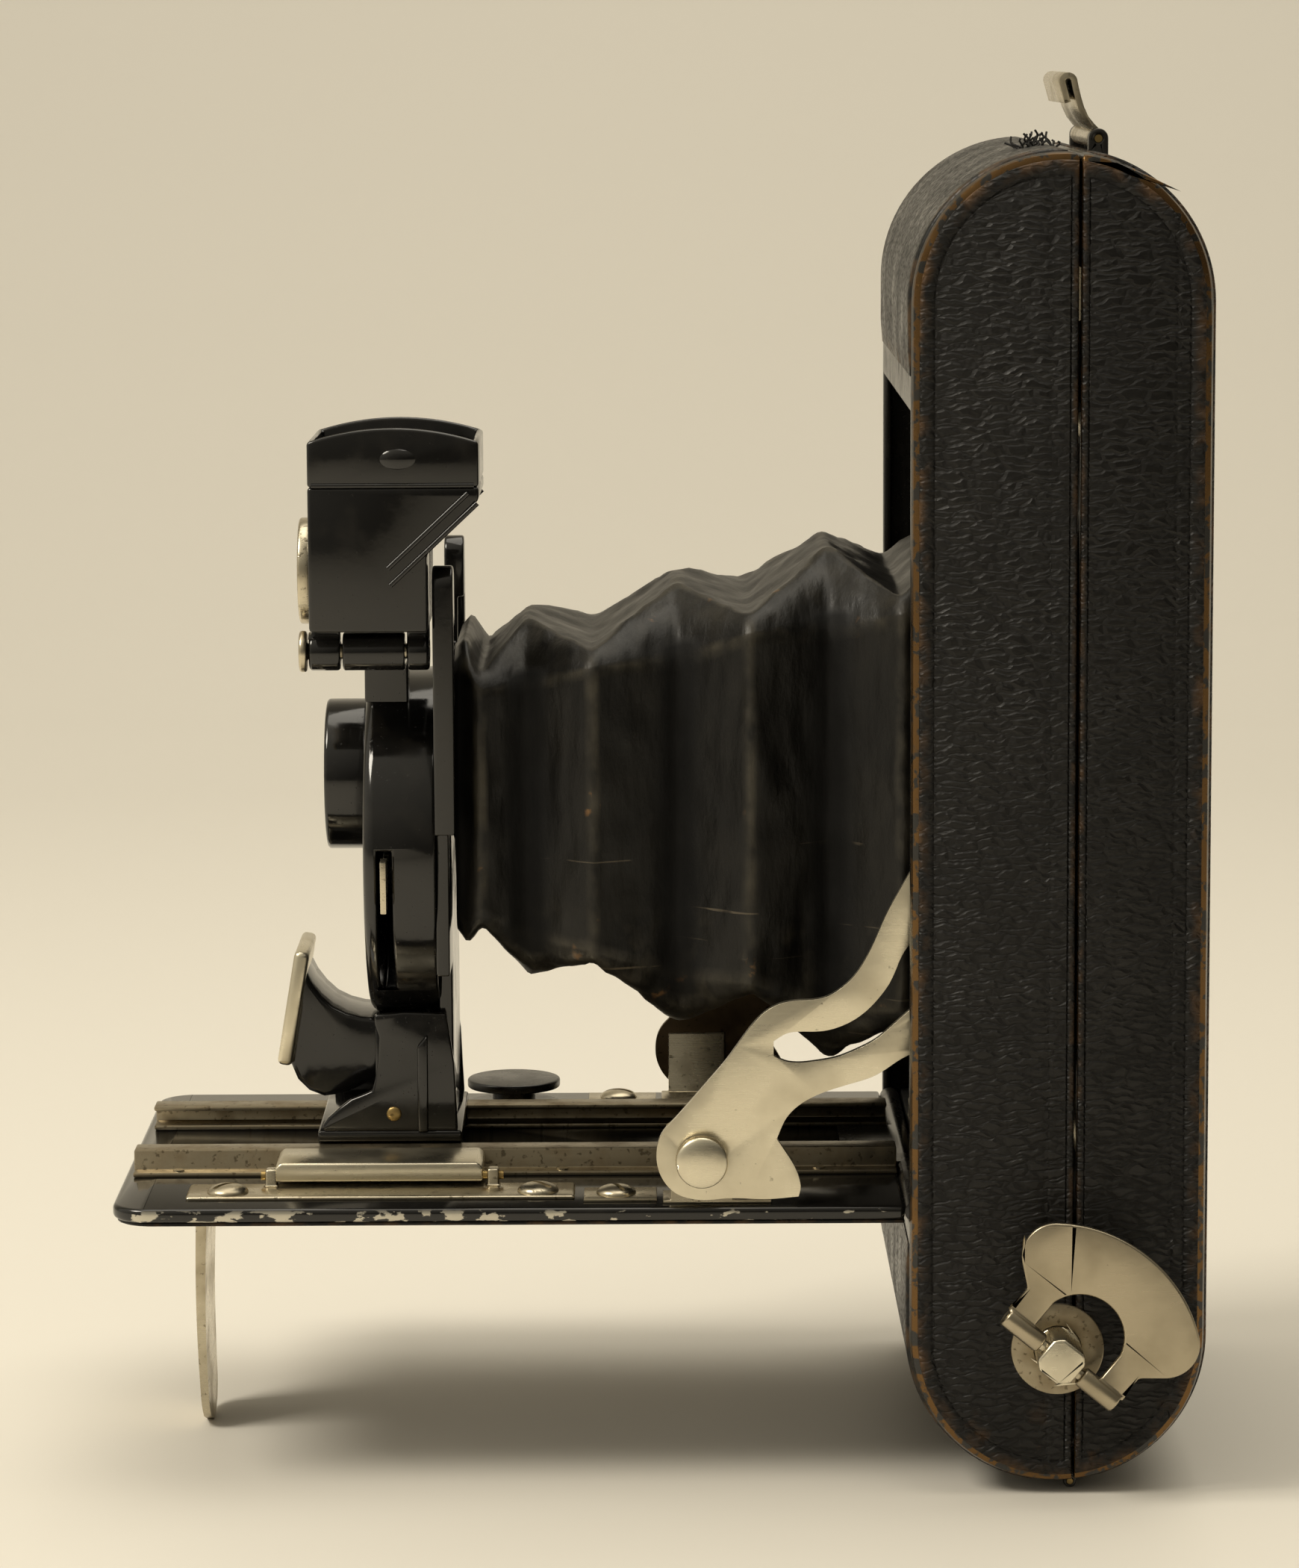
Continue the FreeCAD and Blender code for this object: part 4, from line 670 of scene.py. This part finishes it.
def bellows_ring(x):
    """One section: flat top and bottom, mitred corners with a little roundness, and the sides."""
    top, bottom, wide, mitre = form_at(x)
    low_mitre = mitre * 0.85
    corner = [(wide - mitre * 1.25, top), (wide, top - mitre)]
    low_corner = [(wide, bottom + low_mitre), (wide - low_mitre * 1.1, bottom)]
    points = []
    for step in range(10):
        points.append((corner[0][0] * step / 10, top))
    for step in range(8):
        share = step / 8
        round_out = 0.10 * mitre * math.sin(math.pi * share)
        points.append((corner[0][0] + (corner[1][0] - corner[0][0]) * share + round_out,
                       corner[0][1] + (corner[1][1] - corner[0][1]) * share + round_out))
    for step in range(26):
        points.append((wide, corner[1][1] + (low_corner[0][1] - corner[1][1]) * step / 26))
    for step in range(8):
        share = step / 8
        round_out = 0.14 * low_mitre * math.sin(math.pi * share)
        points.append((low_corner[0][0] + (low_corner[1][0] - low_corner[0][0]) * share + round_out,
                       low_corner[0][1] + (low_corner[1][1] - low_corner[0][1]) * share - round_out))
    for step in range(10):
        points.append((low_corner[1][0] * (1 - step / 10), bottom))
    points.append((0, bottom))
    left = [(-y, z) for y, z in points[1:-1][::-1]]
    return [(x, y, z) for y, z in points + left]


bellows_start, bellows_end = bellows_form[0][0], bellows_form[-1][0]
slices = 150
bellows_length = bellows_end - bellows_start
rings = [bellows_ring(bellows_start + bellows_length * step / slices) for step in range(slices + 1)]
bellows_mesh = solid_mesh("pleated_bellows", rings, caps=False)
work = bmesh.new()
work.from_mesh(bellows_mesh)
worn = work.verts.layers.float.new("wear")
work.normal_update()
# Painted shade: how far each vertex on the sides lies in an inward fold, for the leather to darken there.
painted_fold_shade = work.verts.layers.float.new("painted_fold_shade")
moves = []
for vert in work.verts:
    place = vert.co / mm
    crease = noise.fractal(place * 0.11, 1.0, 2.0, 4)
    small = noise.noise(Vector((place.x * 0.5, place.y * 0.28, place.z * 0.16)))
    hold = min(1, (place.x - bellows_start) / 3, (bellows_end - place.x) / 6)
    moves.append(vert.normal * (0.42 * crease + 0.22 * small) * max(hold, 0) * mm)
    turns = [edge.calc_face_angle_signed(0) for edge in vert.link_edges if len(edge.link_faces) == 2]
    vert[worn] = min(max(max(turns) / math.radians(22), 0), 1)
    wide_here, wide_before, wide_after = [form_at(place.x + offset)[2] for offset in (0, -3.5, 3.5)]
    if abs(place.y) > wide_here - 1.5:
        vert[painted_fold_shade] = min(max(((wide_before + wide_after) / 2 - wide_here) / 1.3, 0), 1)
for vert, move in zip(work.verts, moves):
    vert.co += move
for face in work.faces:
    face.smooth = True
work.to_mesh(bellows_mesh)
work.free()


def bellows_leather():
    """Thin worn leather: dull on the flats, rubbed grey along the folds, scuffed and dusty low down,
    tan where the surface has gone at a few corners, and painted shade, near black, in the inward folds of the
    sides."""
    made, tree, shader, coords = start_finish("bellows_leather")
    rubbed = rub(tree)
    tone = mixed(tree, blotches(tree, coords, 11, 6, 0.42, 0.75), (0.0032, 0.0030, 0.0026),
                 (0.0085, 0.0076, 0.0060))
    folds = sums(tree, "MULTIPLY", rubbed, blotches(tree, coords, 4.5, 6, 0.36, 0.66))
    greyed = mixed(tree, stretched(tree, folds, 0, 1, 0, 0.55), tone, (0.075, 0.066, 0.048))
    upright = part(tree, "ShaderNodeSeparateXYZ", {"Vector": coords})
    low_down = stretched(tree, upright.outputs["Z"], 42, 26)
    dusty = sums(tree, "MULTIPLY", low_down, blotches(tree, coords, 4, 7, 0.52, 0.74))
    dusted = mixed(tree, stretched(tree, dusty, 0, 1, 0, 0.6), greyed, (0.085, 0.075, 0.055))
    tan = sums(tree, "MULTIPLY", sums(tree, "MULTIPLY", rubbed, blotches(tree, coords, 7, 2, 0.66, 0.72)),
               blotches(tree, coords, 1.5, 3, 0.5, 0.6))
    bald = mixed(tree, tan, dusted, (0.30, 0.15, 0.05))
    tilted = part(tree, "ShaderNodeMapping", {"Vector": coords, "Rotation": (0, -0.28, 0),
                                              "Scale": (0.03, 0.05, 1.3)})
    streak = blotches(tree, tilted.outputs["Vector"], 1, 2, 0.69, 0.73)
    scratch = sums(tree, "MULTIPLY", streak, blotches(tree, coords, 6, 2, 0.5, 0.58))
    scratched = sums(tree, "MULTIPLY", scratch, stretched(tree, upright.outputs["Z"], 56, 44))
    shown = mixed(tree, stretched(tree, scratched, 0, 1, 0, 0.5), bald, (0.16, 0.13, 0.09))
    # Painted shade: the inward folds of the sides go near black and a little rougher, as if shaded.
    fold_shade_mask = part(tree, "ShaderNodeAttribute", attribute_name="painted_fold_shade").outputs["Fac"]
    shown = mixed(tree, stretched(tree, fold_shade_mask, 0, 1, 0, 0.85), shown, (0.0006, 0.0005, 0.0004))
    tree.links.new(shown, shader.inputs["Base Color"])
    rough = sums(tree, "ADD", stretched(tree, blotches(tree, coords, 6, 5, 0.35, 0.7), 0, 1, 0.48, 0.34),
                 stretched(tree, fold_shade_mask, 0, 1, 0, 0.4))
    tree.links.new(rough, shader.inputs["Roughness"])
    shader.inputs["Specular IOR Level"].default_value = 0.30
    long_ways = part(tree, "ShaderNodeMapping", {"Vector": coords, "Scale": (1.1, 0.5, 0.35)})
    level = bumped(tree, cloud(tree, long_ways.outputs["Vector"], 2.2, 5), 0.45, 0.5 * mm)
    tree.links.new(bumped(tree, cloud(tree, coords, 0.35, 2), 0.3, 0.06 * mm, level), shader.inputs["Normal"])
    return made


pleats = put("pleated_bellows", bellows_mesh, bellows_leather())
wall = pleats.modifiers.new("wall", "SOLIDIFY")
wall.thickness = 0.5 * mm
wall.offset = -1
settled(pleats)
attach(pleats, "case")
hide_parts("bellows")
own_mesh(pleats)

# ---- Bed: the drop front, an enamelled plate with leather under it, which carries the focusing rails.
# Its near edge has chipped to bright metal beside the lock and along the free end.
bed_black, bed_tree, bed_shader, bed_coords = start_finish("bed_enamel")
bed_at = part(bed_tree, "ShaderNodeSeparateXYZ", {"Vector": bed_coords})
rim_low = stretched(bed_tree, bed_at.outputs["Z"], 2.2, 1.6)
rim_near = stretched(bed_tree, bed_at.outputs["Y"], -37.2, -37.6)
rim_free = stretched(bed_tree, bed_at.outputs["X"], -40, -58)
thin_free = stretched(bed_tree, bed_at.outputs["X"], 24, 0, 0, 0.45)
chance = sums(bed_tree, "MAXIMUM", rim_free, thin_free)
flakes = part(bed_tree, "ShaderNodeMapping", {"Vector": bed_coords, "Scale": (0.35, 0.7, 0.7)})
flaked = stretched(bed_tree, sums(bed_tree, "ADD", cloud(bed_tree, flakes.outputs["Vector"], 1, 5),
                                  stretched(bed_tree, chance, 0, 1, -0.14, 0)), 0.50, 0.53)
chips = sums(bed_tree, "MULTIPLY", flaked, sums(bed_tree, "MULTIPLY", rim_low, rim_near))
bed_dust = blotches(bed_tree, bed_coords, 5, 6, 0.5, 0.85)
bed_tone = mixed(bed_tree, stretched(bed_tree, bed_dust, 0, 1, 0, 0.4), (0.006, 0.0056, 0.005),
                 (0.03, 0.026, 0.02))
bed_tree.links.new(mixed(bed_tree, chips, bed_tone, (0.62, 0.58, 0.48)), bed_shader.inputs["Base Color"])
bed_tree.links.new(stretched(bed_tree, chips, 0, 1, 0.14, 0.42), bed_shader.inputs["Roughness"])
bed_tree.links.new(stretched(bed_tree, chips, 0, 1, 0, 0.7), bed_shader.inputs["Metallic"])
bed_shader.inputs["Specular IOR Level"].default_value = 0.6
rounded_over("bed_pressing", "bed_plate", bed_black, 0.6, 3)
rounded_over("bed_underside_leather", "bed_leather", smooth_leather, 0.2)

# ---- Fittings in pressed and turned metal, each with its cut edges rounded as tumbling and plating leave them.
# They are nickelled steel where the hand works them, black enamel on the body, and dull brass in the bushes.
# Painted shade: a darker, browner copy of the struts' nickel, given to the far strut, which stands in shadow.
painted_shade_strut_metal = metal("far_strut_painted_shade", (0.11, 0.08, 0.05), (0.05, 0.035, 0.02), 0.45)
key_nickel = metal("key_nickel", (0.46, 0.40, 0.29), (0.33, 0.28, 0.19), 0.28, 9, 0.76)
dark_wood = enamel("dark_wood", (0.035, 0.015, 0.007), 0.42, (0.08, 0.04, 0.02), 0.8)


def on_front_rim(place):
    """The shutter housing's round front edge, in millimetres."""
    outwards = math.hypot(place.y, place.z - housing_middle)
    return place.x < housing_box[0].x + 1.5 and outwards > housing_radius - 1


housing_box = [Vector(corner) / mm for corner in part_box("shutter_housing")]
housing_middle = (housing_box[0].z + housing_box[1].z) / 2
housing_radius = housing_box[1].y
fittings = {
    "leg_lugs": (nickel, 0.15), "bed_rails": (tarnished, 0.25), "case_rails": (tarnished, 0.15),
    "carriage": (gloss_black, 0.35), "lock_plate": (nickel, 0.35),
    "distance_stop": (blackened, 0.3), "strut_fittings": (nickel, 0.15),
    "bed_socket_bush": (brass, 0.15), "side_socket_bush": (brass, 0.15), "bed_hinge": (blackened, 0.1),
    "shutter_lever": (nickel, 0.15), "stop_plate": (blackened, 0.1), "key_escutcheon": (tarnished, 0.2),
    "takeup_pin": (nickel, 0.3), "supply_pin": (nickel, 0.3), "key_shaft": (satin, 0.35),
    "finder_pin": (nickel, 0.35), "lens_barrel": (gloss_black, 0.5),
    "finder_bracket": (gloss_black, 0.3), "standard_plate": (gloss_black, 0.35),
    "focus_bracket": (gloss_black, 0.4),
    "gate_frame": (matt_black, 0.15), "top_roller": (nickel, 0.2), "bottom_roller": (nickel, 0.2),
    "takeup_spool": (blackened, 0.2), "supply_spool": (blackened, 0.2), "finder_bezel": (nickel, 0.35),
    "finder_body": (gloss_black, 0.45), "finder_hood": (gloss_black, 0.4),
    "finger_grip": (satin, 0.7), "key_wing": (key_nickel, 0.3),
}
for node, (finish, edge) in fittings.items():
    if frame_slots[node] == "dark_wood":
        finish = dark_wood
    rounded_over(node + "_piece", node, finish, edge, 3 if edge >= 0.3 else 2)
rounded_over("shutter_housing_piece", "shutter_housing", gloss_black, 0.4, 4, (on_front_rim, 1.5))


# ---- Lock lever: a bevelled block of bright nickel on the bed's near edge, pressed to free the struts.
# Plates and blocks cut to an outline are made alike; the foot of the standard uses them too.
def slab(name, outline_points, near, far, finish, edge):
    """A plate cut to an outline of (x, z) points, from one y to another, with rounded edges."""
    mesh = solid_mesh(name, [[(x, y, z) for x, z in outline_points] for y in (near, far)])
    made = put(name, mesh, finish)
    bevel = made.modifiers.new("edges", "BEVEL")
    bevel.width = edge * mm
    bevel.segments = 3
    bevel.limit_method = "ANGLE"
    bevel.angle_limit = math.radians(35)
    settled(made)
    finish_edges(made.data)
    return made


lever_outline = [(-56.6, 3.5), (-56.6, 5.3), (-55.9, 6.0), (-30.0, 6.0), (-29.3, 5.3), (-29.3, 3.5)]
lock_low, lock_high = [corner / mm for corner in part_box("lock_lever")]
ride_as(slab("lock_lever_block", lever_outline, lock_low.y, lock_high.y, satin, 0.35), "lock_lever")

# ---- Side struts: cut from nickelled plate, each with a long window and its edges rounded by tumbling.
# The outline is the frame's, with its short straight runs eased into curves.
def eased(points, rounds=3, sharp=48):
    """A closed outline with its slight corners cut off again and again, and its sharp ones kept."""
    for _ in range(rounds):
        fresh = []
        for index, point in enumerate(points):
            before, after = points[index - 1], points[(index + 1) % len(points)]
            turn = (point - before).angle(after - point, 0)
            if turn > math.radians(sharp) or turn < math.radians(0.5):
                fresh.append(point)
            else:
                fresh.append(point.lerp(before, min(0.25, 0.9 / max((point - before).length, 0.01))))
                fresh.append(point.lerp(after, min(0.25, 0.9 / max((after - point).length, 0.01))))
        points = fresh
    return points


def outline_loops(node):
    """The closed outlines, in millimetres, of a plate's outer face."""
    work = bmesh.new()
    work.from_mesh(frame["nodes"][node].data)
    bmesh.ops.remove_doubles(work, verts=work.verts, dist=same_place)
    outer = max(abs(vert.co.y) for vert in work.verts)
    flat = {face for face in work.faces
            if all(abs(abs(vert.co.y) - outer) < 0.02 * mm for vert in face.verts)}
    rim = [edge for edge in work.edges if sum(face in flat for face in edge.link_faces) == 1]
    after = {}
    for edge in rim:
        for vert in edge.verts:
            after.setdefault(vert, []).append(edge.other_vert(vert))
    loops = []
    while after:
        vert = next(iter(after))
        loop = []
        while vert is not None:
            ways = after.pop(vert)
            loop.append(vert.co.copy() / mm)
            vert = next((way for way in ways if way in after), None)
        loops.append(loop)
    work.free()
    return loops


for node in ("left_strut", "right_strut"):
    low, high = [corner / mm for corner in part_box(node)]
    outer, inner = (low.y, high.y) if low.y < 0 else (high.y, low.y)
    work = bmesh.new()
    borders = []
    for loop in outline_loops(node):
        verts = [work.verts.new((point.x * mm, inner * mm, point.z * mm)) for point in eased(loop)]
        borders += [work.edges.new((a, b)) for a, b in zip(verts, verts[1:] + verts[:1])]
    bmesh.ops.triangle_fill(work, use_beauty=True, edges=borders)
    raised = bmesh.ops.extrude_face_region(work, geom=work.faces[:])
    for item in raised["geom"]:
        if isinstance(item, bmesh.types.BMVert):
            item.co.y = outer * mm
    bmesh.ops.recalc_face_normals(work, faces=work.faces)
    bmesh.ops.dissolve_limit(work, angle_limit=flat_angle, verts=work.verts, edges=work.edges)
    plate = bpy.data.meshes.new(f"{node}_plate")
    work.to_mesh(plate)
    work.free()
    # The far strut gets the darker copy of the nickel as painted shade.
    strut = put(f"{node}_plate", plate, satin if low.y < 0 else painted_shade_strut_metal)
    bevel = strut.modifiers.new("edges", "BEVEL")
    bevel.width = 0.35 * mm
    bevel.segments = 3
    bevel.limit_method = "ANGLE"
    bevel.angle_limit = math.radians(60)
    settled(strut)
    finish_edges(strut.data, 50)
    ride_as(strut, node)

# ---- Folding leg: a strip of nickelled steel, slightly bowed, that narrows to a rounded tongue.
# It hangs from two lugs under the bed's free end.
leg_low, leg_high = [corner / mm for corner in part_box("support_leg")]
leg_rings = []
leg_steps, leg_top = 24, leg_high.z - 0.8
for step in range(leg_steps + 1):
    share = step / leg_steps
    height = leg_top + (leg_low.z - leg_top) * share
    width = leg_high.y * (1 - 0.22 * share)
    width *= math.sqrt(max(1 - max(share - 0.86, 0) ** 2 / 0.02, 0.02))
    middle = (leg_low.x + leg_high.x) / 2 + 0.5 - 0.5 * math.sin(math.pi * share)
    thick = 0.75 - 0.25 * share
    ring = [(middle - thick, -width, height), (middle + thick, -width, height),
            (middle + thick, width, height), (middle - thick, width, height)]
    leg_rings.append(ring)
leg = put("support_leg_strip", solid_mesh("support_leg_strip", leg_rings), nickel)
finish_edges(leg.data)
ride_as(leg, "support_leg")

# ---- Front standard's foot: a black pressing with two cheeks that hold the scooped finger piece.
# The cheeks stand on the carriage and run up either side to the shutter.
cheek_line = [
    (-51.0, 7.4), (-51.1, 8.2), (-50.3, 9.3), (-48.9, 10.5), (-47.2, 11.8), (-45.6, 12.4), (-44.4, 12.9),
    (-44.0, 14.4), (-43.5, 17.2), (-43.4, 20.2), (-44.0, 22.0), (-44.0, 23.2), (-40.0, 23.6), (-34.4, 23.4),
    (-33.4, 16.6), (-33.0, 7.4),
]
flange_line = [(-38.3, 7.5), (-38.3, 19.0), (-36.9, 20.6), (-36.9, 7.5)]
for side_name, side in sides.items():
    cheek = slab(f"standard_cheek_{side_name}", cheek_line, side * 13.4, side * 12.2, gloss_black, 0.35)
    flange = slab(f"standard_cheek_flange_{side_name}", flange_line, side * 14.3, side * 13.2, gloss_black, 0.3)
    for pressing in (cheek, flange):
        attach(pressing, "standard")
scoop_line = [
    (-54.2, 30.2), (-53.6, 28.2), (-52.6, 26.2), (-51.4, 24.6), (-49.9, 23.2), (-48.1, 22.3), (-46.2, 21.8),
    (-44.3, 21.6), (-38.0, 21.4), (-38.0, 15.2), (-44.4, 13.4), (-46.4, 12.2), (-48.8, 11.2), (-51.2, 10.9),
    (-53.2, 11.7), (-54.7, 13.2), (-55.6, 15.4), (-56.2, 19.0), (-55.8, 24.0), (-55.0, 28.0),
]
ride_as(slab("finger_scoop", scoop_line, -7, 7, gloss_black, 0.8), "grip_bracket")

# ---- Finder's pressed sides: two raised creases along the mirror's slope, a lip under the hood, and an oval.
# They are pressed into thin enamelled sheet, which they stiffen.
def thread_along(name, path, radius, finish, sides=10):
    """A round rod along points in millimetres, with closed ends."""
    rings = []
    for index, point in enumerate(path):
        here = Vector(point)
        way = Vector(path[min(index + 1, len(path) - 1)]) - Vector(path[max(index - 1, 0)])
        frame_turn = way.to_track_quat("Z", "Y")
        rings.append([here + frame_turn @ Vector((radius * math.cos(a), radius * math.sin(a), 0))
                      for a in [math.tau * k / sides for k in range(sides)]])
    mesh = solid_mesh(name, rings)
    finish_edges(mesh)
    return put(name, mesh, finish)


lip_height = 94.9
creases = [((-30.4, 93.9), (-40.8, 84.2)), ((-29.2, 92.6), (-40.5, 82.0))]
oval_profile = [(-0.3, 0), (-0.3, 1), (0, 1), (0.24, 0.8), (0.38, 0.45), (0.42, 0)]
oval_x, oval_z, oval_half_width, oval_half_height = -39.4, 98.3, 2.3, 1.3
for (side_name, side), corner in zip(sides.items(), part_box("finder_body")):
    face_y = corner.y / mm
    pressings = []
    for number, (start, stop) in enumerate(creases):
        shares = [step / 12 for step in range(13)]
        run = [(start[0] + (stop[0] - start[0]) * share, face_y, start[1] + (stop[1] - start[1]) * share)
               for share in shares]
        pressings.append(thread_along(f"finder_crease_{side_name}_{number + 1}", run, 0.36, gloss_black))
    run = [(x, face_y, lip_height) for x in (-50.6, -45, -40, -35, -29.6)]
    pressings.append(thread_along(f"finder_lip_{side_name}", run, 0.32, gloss_black))
    oval = turned(f"hood_oval_{side_name}", oval_profile, (0, side, 0), (0, 0, 0), 40)
    for vert in oval.vertices:
        vert.co.x = vert.co.x * oval_half_width + oval_x * mm
        vert.co.y += face_y * mm
        vert.co.z = vert.co.z * oval_half_height + oval_z * mm
    pressings.append(put(f"hood_oval_{side_name}", oval, gloss_black))
    for pressing in pressings:
        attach(pressing, "finder")

# ---- Slotted screws and domed rivets: turned nickel heads, set by Geometry Nodes where the frame has them.
# Each group is placed flat, with its heads up, and then turned to face its plate.
# Sizes in the node tree are shares of a head's radius.
def heads(name, places, finish, dome, slot_width, seed, facing=None):
    """Heads at (x, y, z, radius) places, made by a node tree and turned into one plain mesh."""
    tree = bpy.data.node_groups.new(name, "GeometryNodeTree")
    sockets = {"Geometry": "NodeSocketGeometry", "Dome height": "NodeSocketFloat", "Slot width": "NodeSocketFloat",
               "Seed": "NodeSocketInt", "Finish": "NodeSocketMaterial"}
    marks = {}
    for socket, kind in sockets.items():
        marks[socket] = tree.interface.new_socket(socket, in_out="INPUT", socket_type=kind).identifier
    tree.interface.new_socket("Geometry", in_out="OUTPUT", socket_type="NodeSocketGeometry")
    given = tree.nodes.new("NodeGroupInput").outputs
    ball = part(tree, "GeometryNodeMeshUVSphere", {"Segments": 40, "Rings": 20, "Radius": 1.0})
    flat = part(tree, "ShaderNodeCombineXYZ", {"X": 1.0, "Y": 1.0, "Z": given["Dome height"]})
    cap = part(tree, "GeometryNodeTransform", {"Geometry": ball.outputs["Mesh"], "Scale": flat.outputs["Vector"]})
    cut_size = part(tree, "ShaderNodeCombineXYZ", {"X": 3.0, "Y": given["Slot width"], "Z": 0.5})
    bar = part(tree, "GeometryNodeMeshCube", {"Size": cut_size.outputs["Vector"]})
    lift = part(tree, "ShaderNodeCombineXYZ", {"Z": sums(tree, "ADD", given["Dome height"], 0.07)})
    cutter = part(tree, "GeometryNodeTransform", {"Geometry": bar.outputs["Mesh"],
                                                  "Translation": lift.outputs["Vector"]})
    slotted = part(tree, "GeometryNodeMeshBoolean", {"Mesh 1": cap.outputs["Geometry"],
                                                     "Mesh 2": cutter.outputs["Geometry"]}, operation="DIFFERENCE")
    spots = part(tree, "GeometryNodeMeshToPoints", {"Mesh": given["Geometry"]})
    size = part(tree, "GeometryNodeInputNamedAttribute", {"Name": "head_radius"}, data_type="FLOAT")
    turn = part(tree, "FunctionNodeRandomValue", {"Min": (0, 0, 0), "Max": (0, 0, 3.1), "Seed": given["Seed"]},
                data_type="FLOAT_VECTOR")
    set_out = part(tree, "GeometryNodeInstanceOnPoints", {
        "Points": spots.outputs["Points"], "Instance": slotted.outputs["Mesh"],
        "Rotation": turn.outputs[0], "Scale": size.outputs["Attribute"]})
    real = part(tree, "GeometryNodeRealizeInstances", {"Geometry": set_out.outputs["Instances"]})
    dressed = part(tree, "GeometryNodeSetMaterial", {"Geometry": real.outputs["Geometry"],
                                                     "Material": given["Finish"]})
    tree.links.new(dressed.outputs["Geometry"], tree.nodes.new("NodeGroupOutput").inputs["Geometry"])
    mesh = bpy.data.meshes.new(name)
    mesh.from_pydata([Vector(place[:3]) * mm for place in places], [], [])
    radii = mesh.attributes.new("head_radius", "FLOAT", "POINT")
    for index, place in enumerate(places):
        radii.data[index].value = place[3] * mm
    made = bpy.data.objects.new(name, mesh)
    bpy.context.scene.collection.objects.link(made)
    setter = made.modifiers.new("heads", "NODES")
    setter.node_group = tree
    given_values = {"Dome height": dome, "Slot width": slot_width, "Seed": seed, "Finish": finish}
    for socket, value in given_values.items():
        setter[marks[socket]] = value
    settled(made)
    if facing:
        made.data.transform(facing)
    finish_edges(made.data, 30)
    return made


screw_height = 2.95
screw_places = [(-62.5, -30, screw_height, 2.7), (-22, -30, screw_height, 2.7),
                (-11.8, -31.5, screw_height, 2.6), (-11.8, 31.5, screw_height, 2.6)]
screws = heads("bed_screw_heads", screw_places, nickel, dome=0.42, slot_width=0.26, seed=3)
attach(screws, "case")
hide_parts("bed_screws")
pivot_x, pivot_z, pivot_radius = -0.7, 8.35, 3.35
pivot_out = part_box("rivets")[1].y / mm - 0.9
near_facing = Matrix.Rotation(math.pi / 2, 4, "X")
far_facing = Matrix.Rotation(-math.pi / 2, 4, "X")
for side_name, height, facing in (("near", pivot_z, near_facing), ("far", -pivot_z, far_facing)):
    pivot_head = heads(f"{side_name}_strut_rivets", [(pivot_x, height, pivot_out, pivot_radius)], satin,
                       dome=0.24, slot_width=0.0, seed=5, facing=facing)
    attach(pivot_head, "case")
cheek_rivets = heads("cheek_rivets", [(-41.5, 9.8, 13.4, 1.0)], brass,
                     dome=0.4, slot_width=0.0, seed=2, facing=near_facing)
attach(cheek_rivets, "standard")

# ---- Torn leather fibres at the top of the seam, a small black tuft beside the latch.
# They are loose ends of the case's leather, each a thin bent thread.
random.seed(11)
fibre_black = enamel("fibre_black", (0.006, 0.005, 0.004), 0.7, (0.02, 0.02, 0.02), 0.95)
for number in range(26):
    root = Vector((random.uniform(-6.5, -1.0), random.uniform(-21, -15.5), 0))
    root.x += seam
    root.z = end_high + math.sqrt(max(end_radius ** 2 - (root.x - middle_x) ** 2, 0)) - 0.2
    lean = Vector((random.uniform(-0.8, 0.7), random.uniform(-0.4, 0.4), random.uniform(0.3, 1.0)))
    path = [root + lean * (step / 6 * 2.6) + Vector((0.5 * math.sin(number + step * 0.9), 0, 0)) * step / 6
            for step in range(7)]
    fibre = thread_along(f"fibre_{number + 1}", path, 0.15, fibre_black, 5)
    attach(fibre, "case")

# ---- Pins, glasses and inner pieces, which keep the frame's own shape.
# The pins are turned brass or nickelled steel, the glasses ground and polished, the pressure plate bare steel.
glass, _, glass_shader, _ = start_finish("lens_glass")
glass_shader.inputs["Base Color"].default_value = (0.80, 0.86, 0.86, 1)
glass_shader.inputs["Roughness"].default_value = 0.03
glass_shader.inputs["Transmission Weight"].default_value = 0.9
glass_shader.inputs["IOR"].default_value = 1.5
silvered = metal("silvered_glass", (0.85, 0.85, 0.82), (0.6, 0.58, 0.5), 0.05, 8, 0.75)
kept = {
    "back_hinge_pin": brass, "supply_pivot": nickel, "rivets": nickel, "bed_pins": brass,
    "pressure_plate": plain_steel, "latch_pin": brass, "key_cross_pin": nickel, "shutter_pivot": plain_steel,
    "shutter_blade": blackened, "finder_mirror": silvered,
    "front_lens": glass, "finder_lens": glass, "finder_glass": glass,
}
for node, finish in kept.items():
    holder = frame["nodes"][node]
    holder.data.materials.clear()
    holder.data.materials.append(finish)
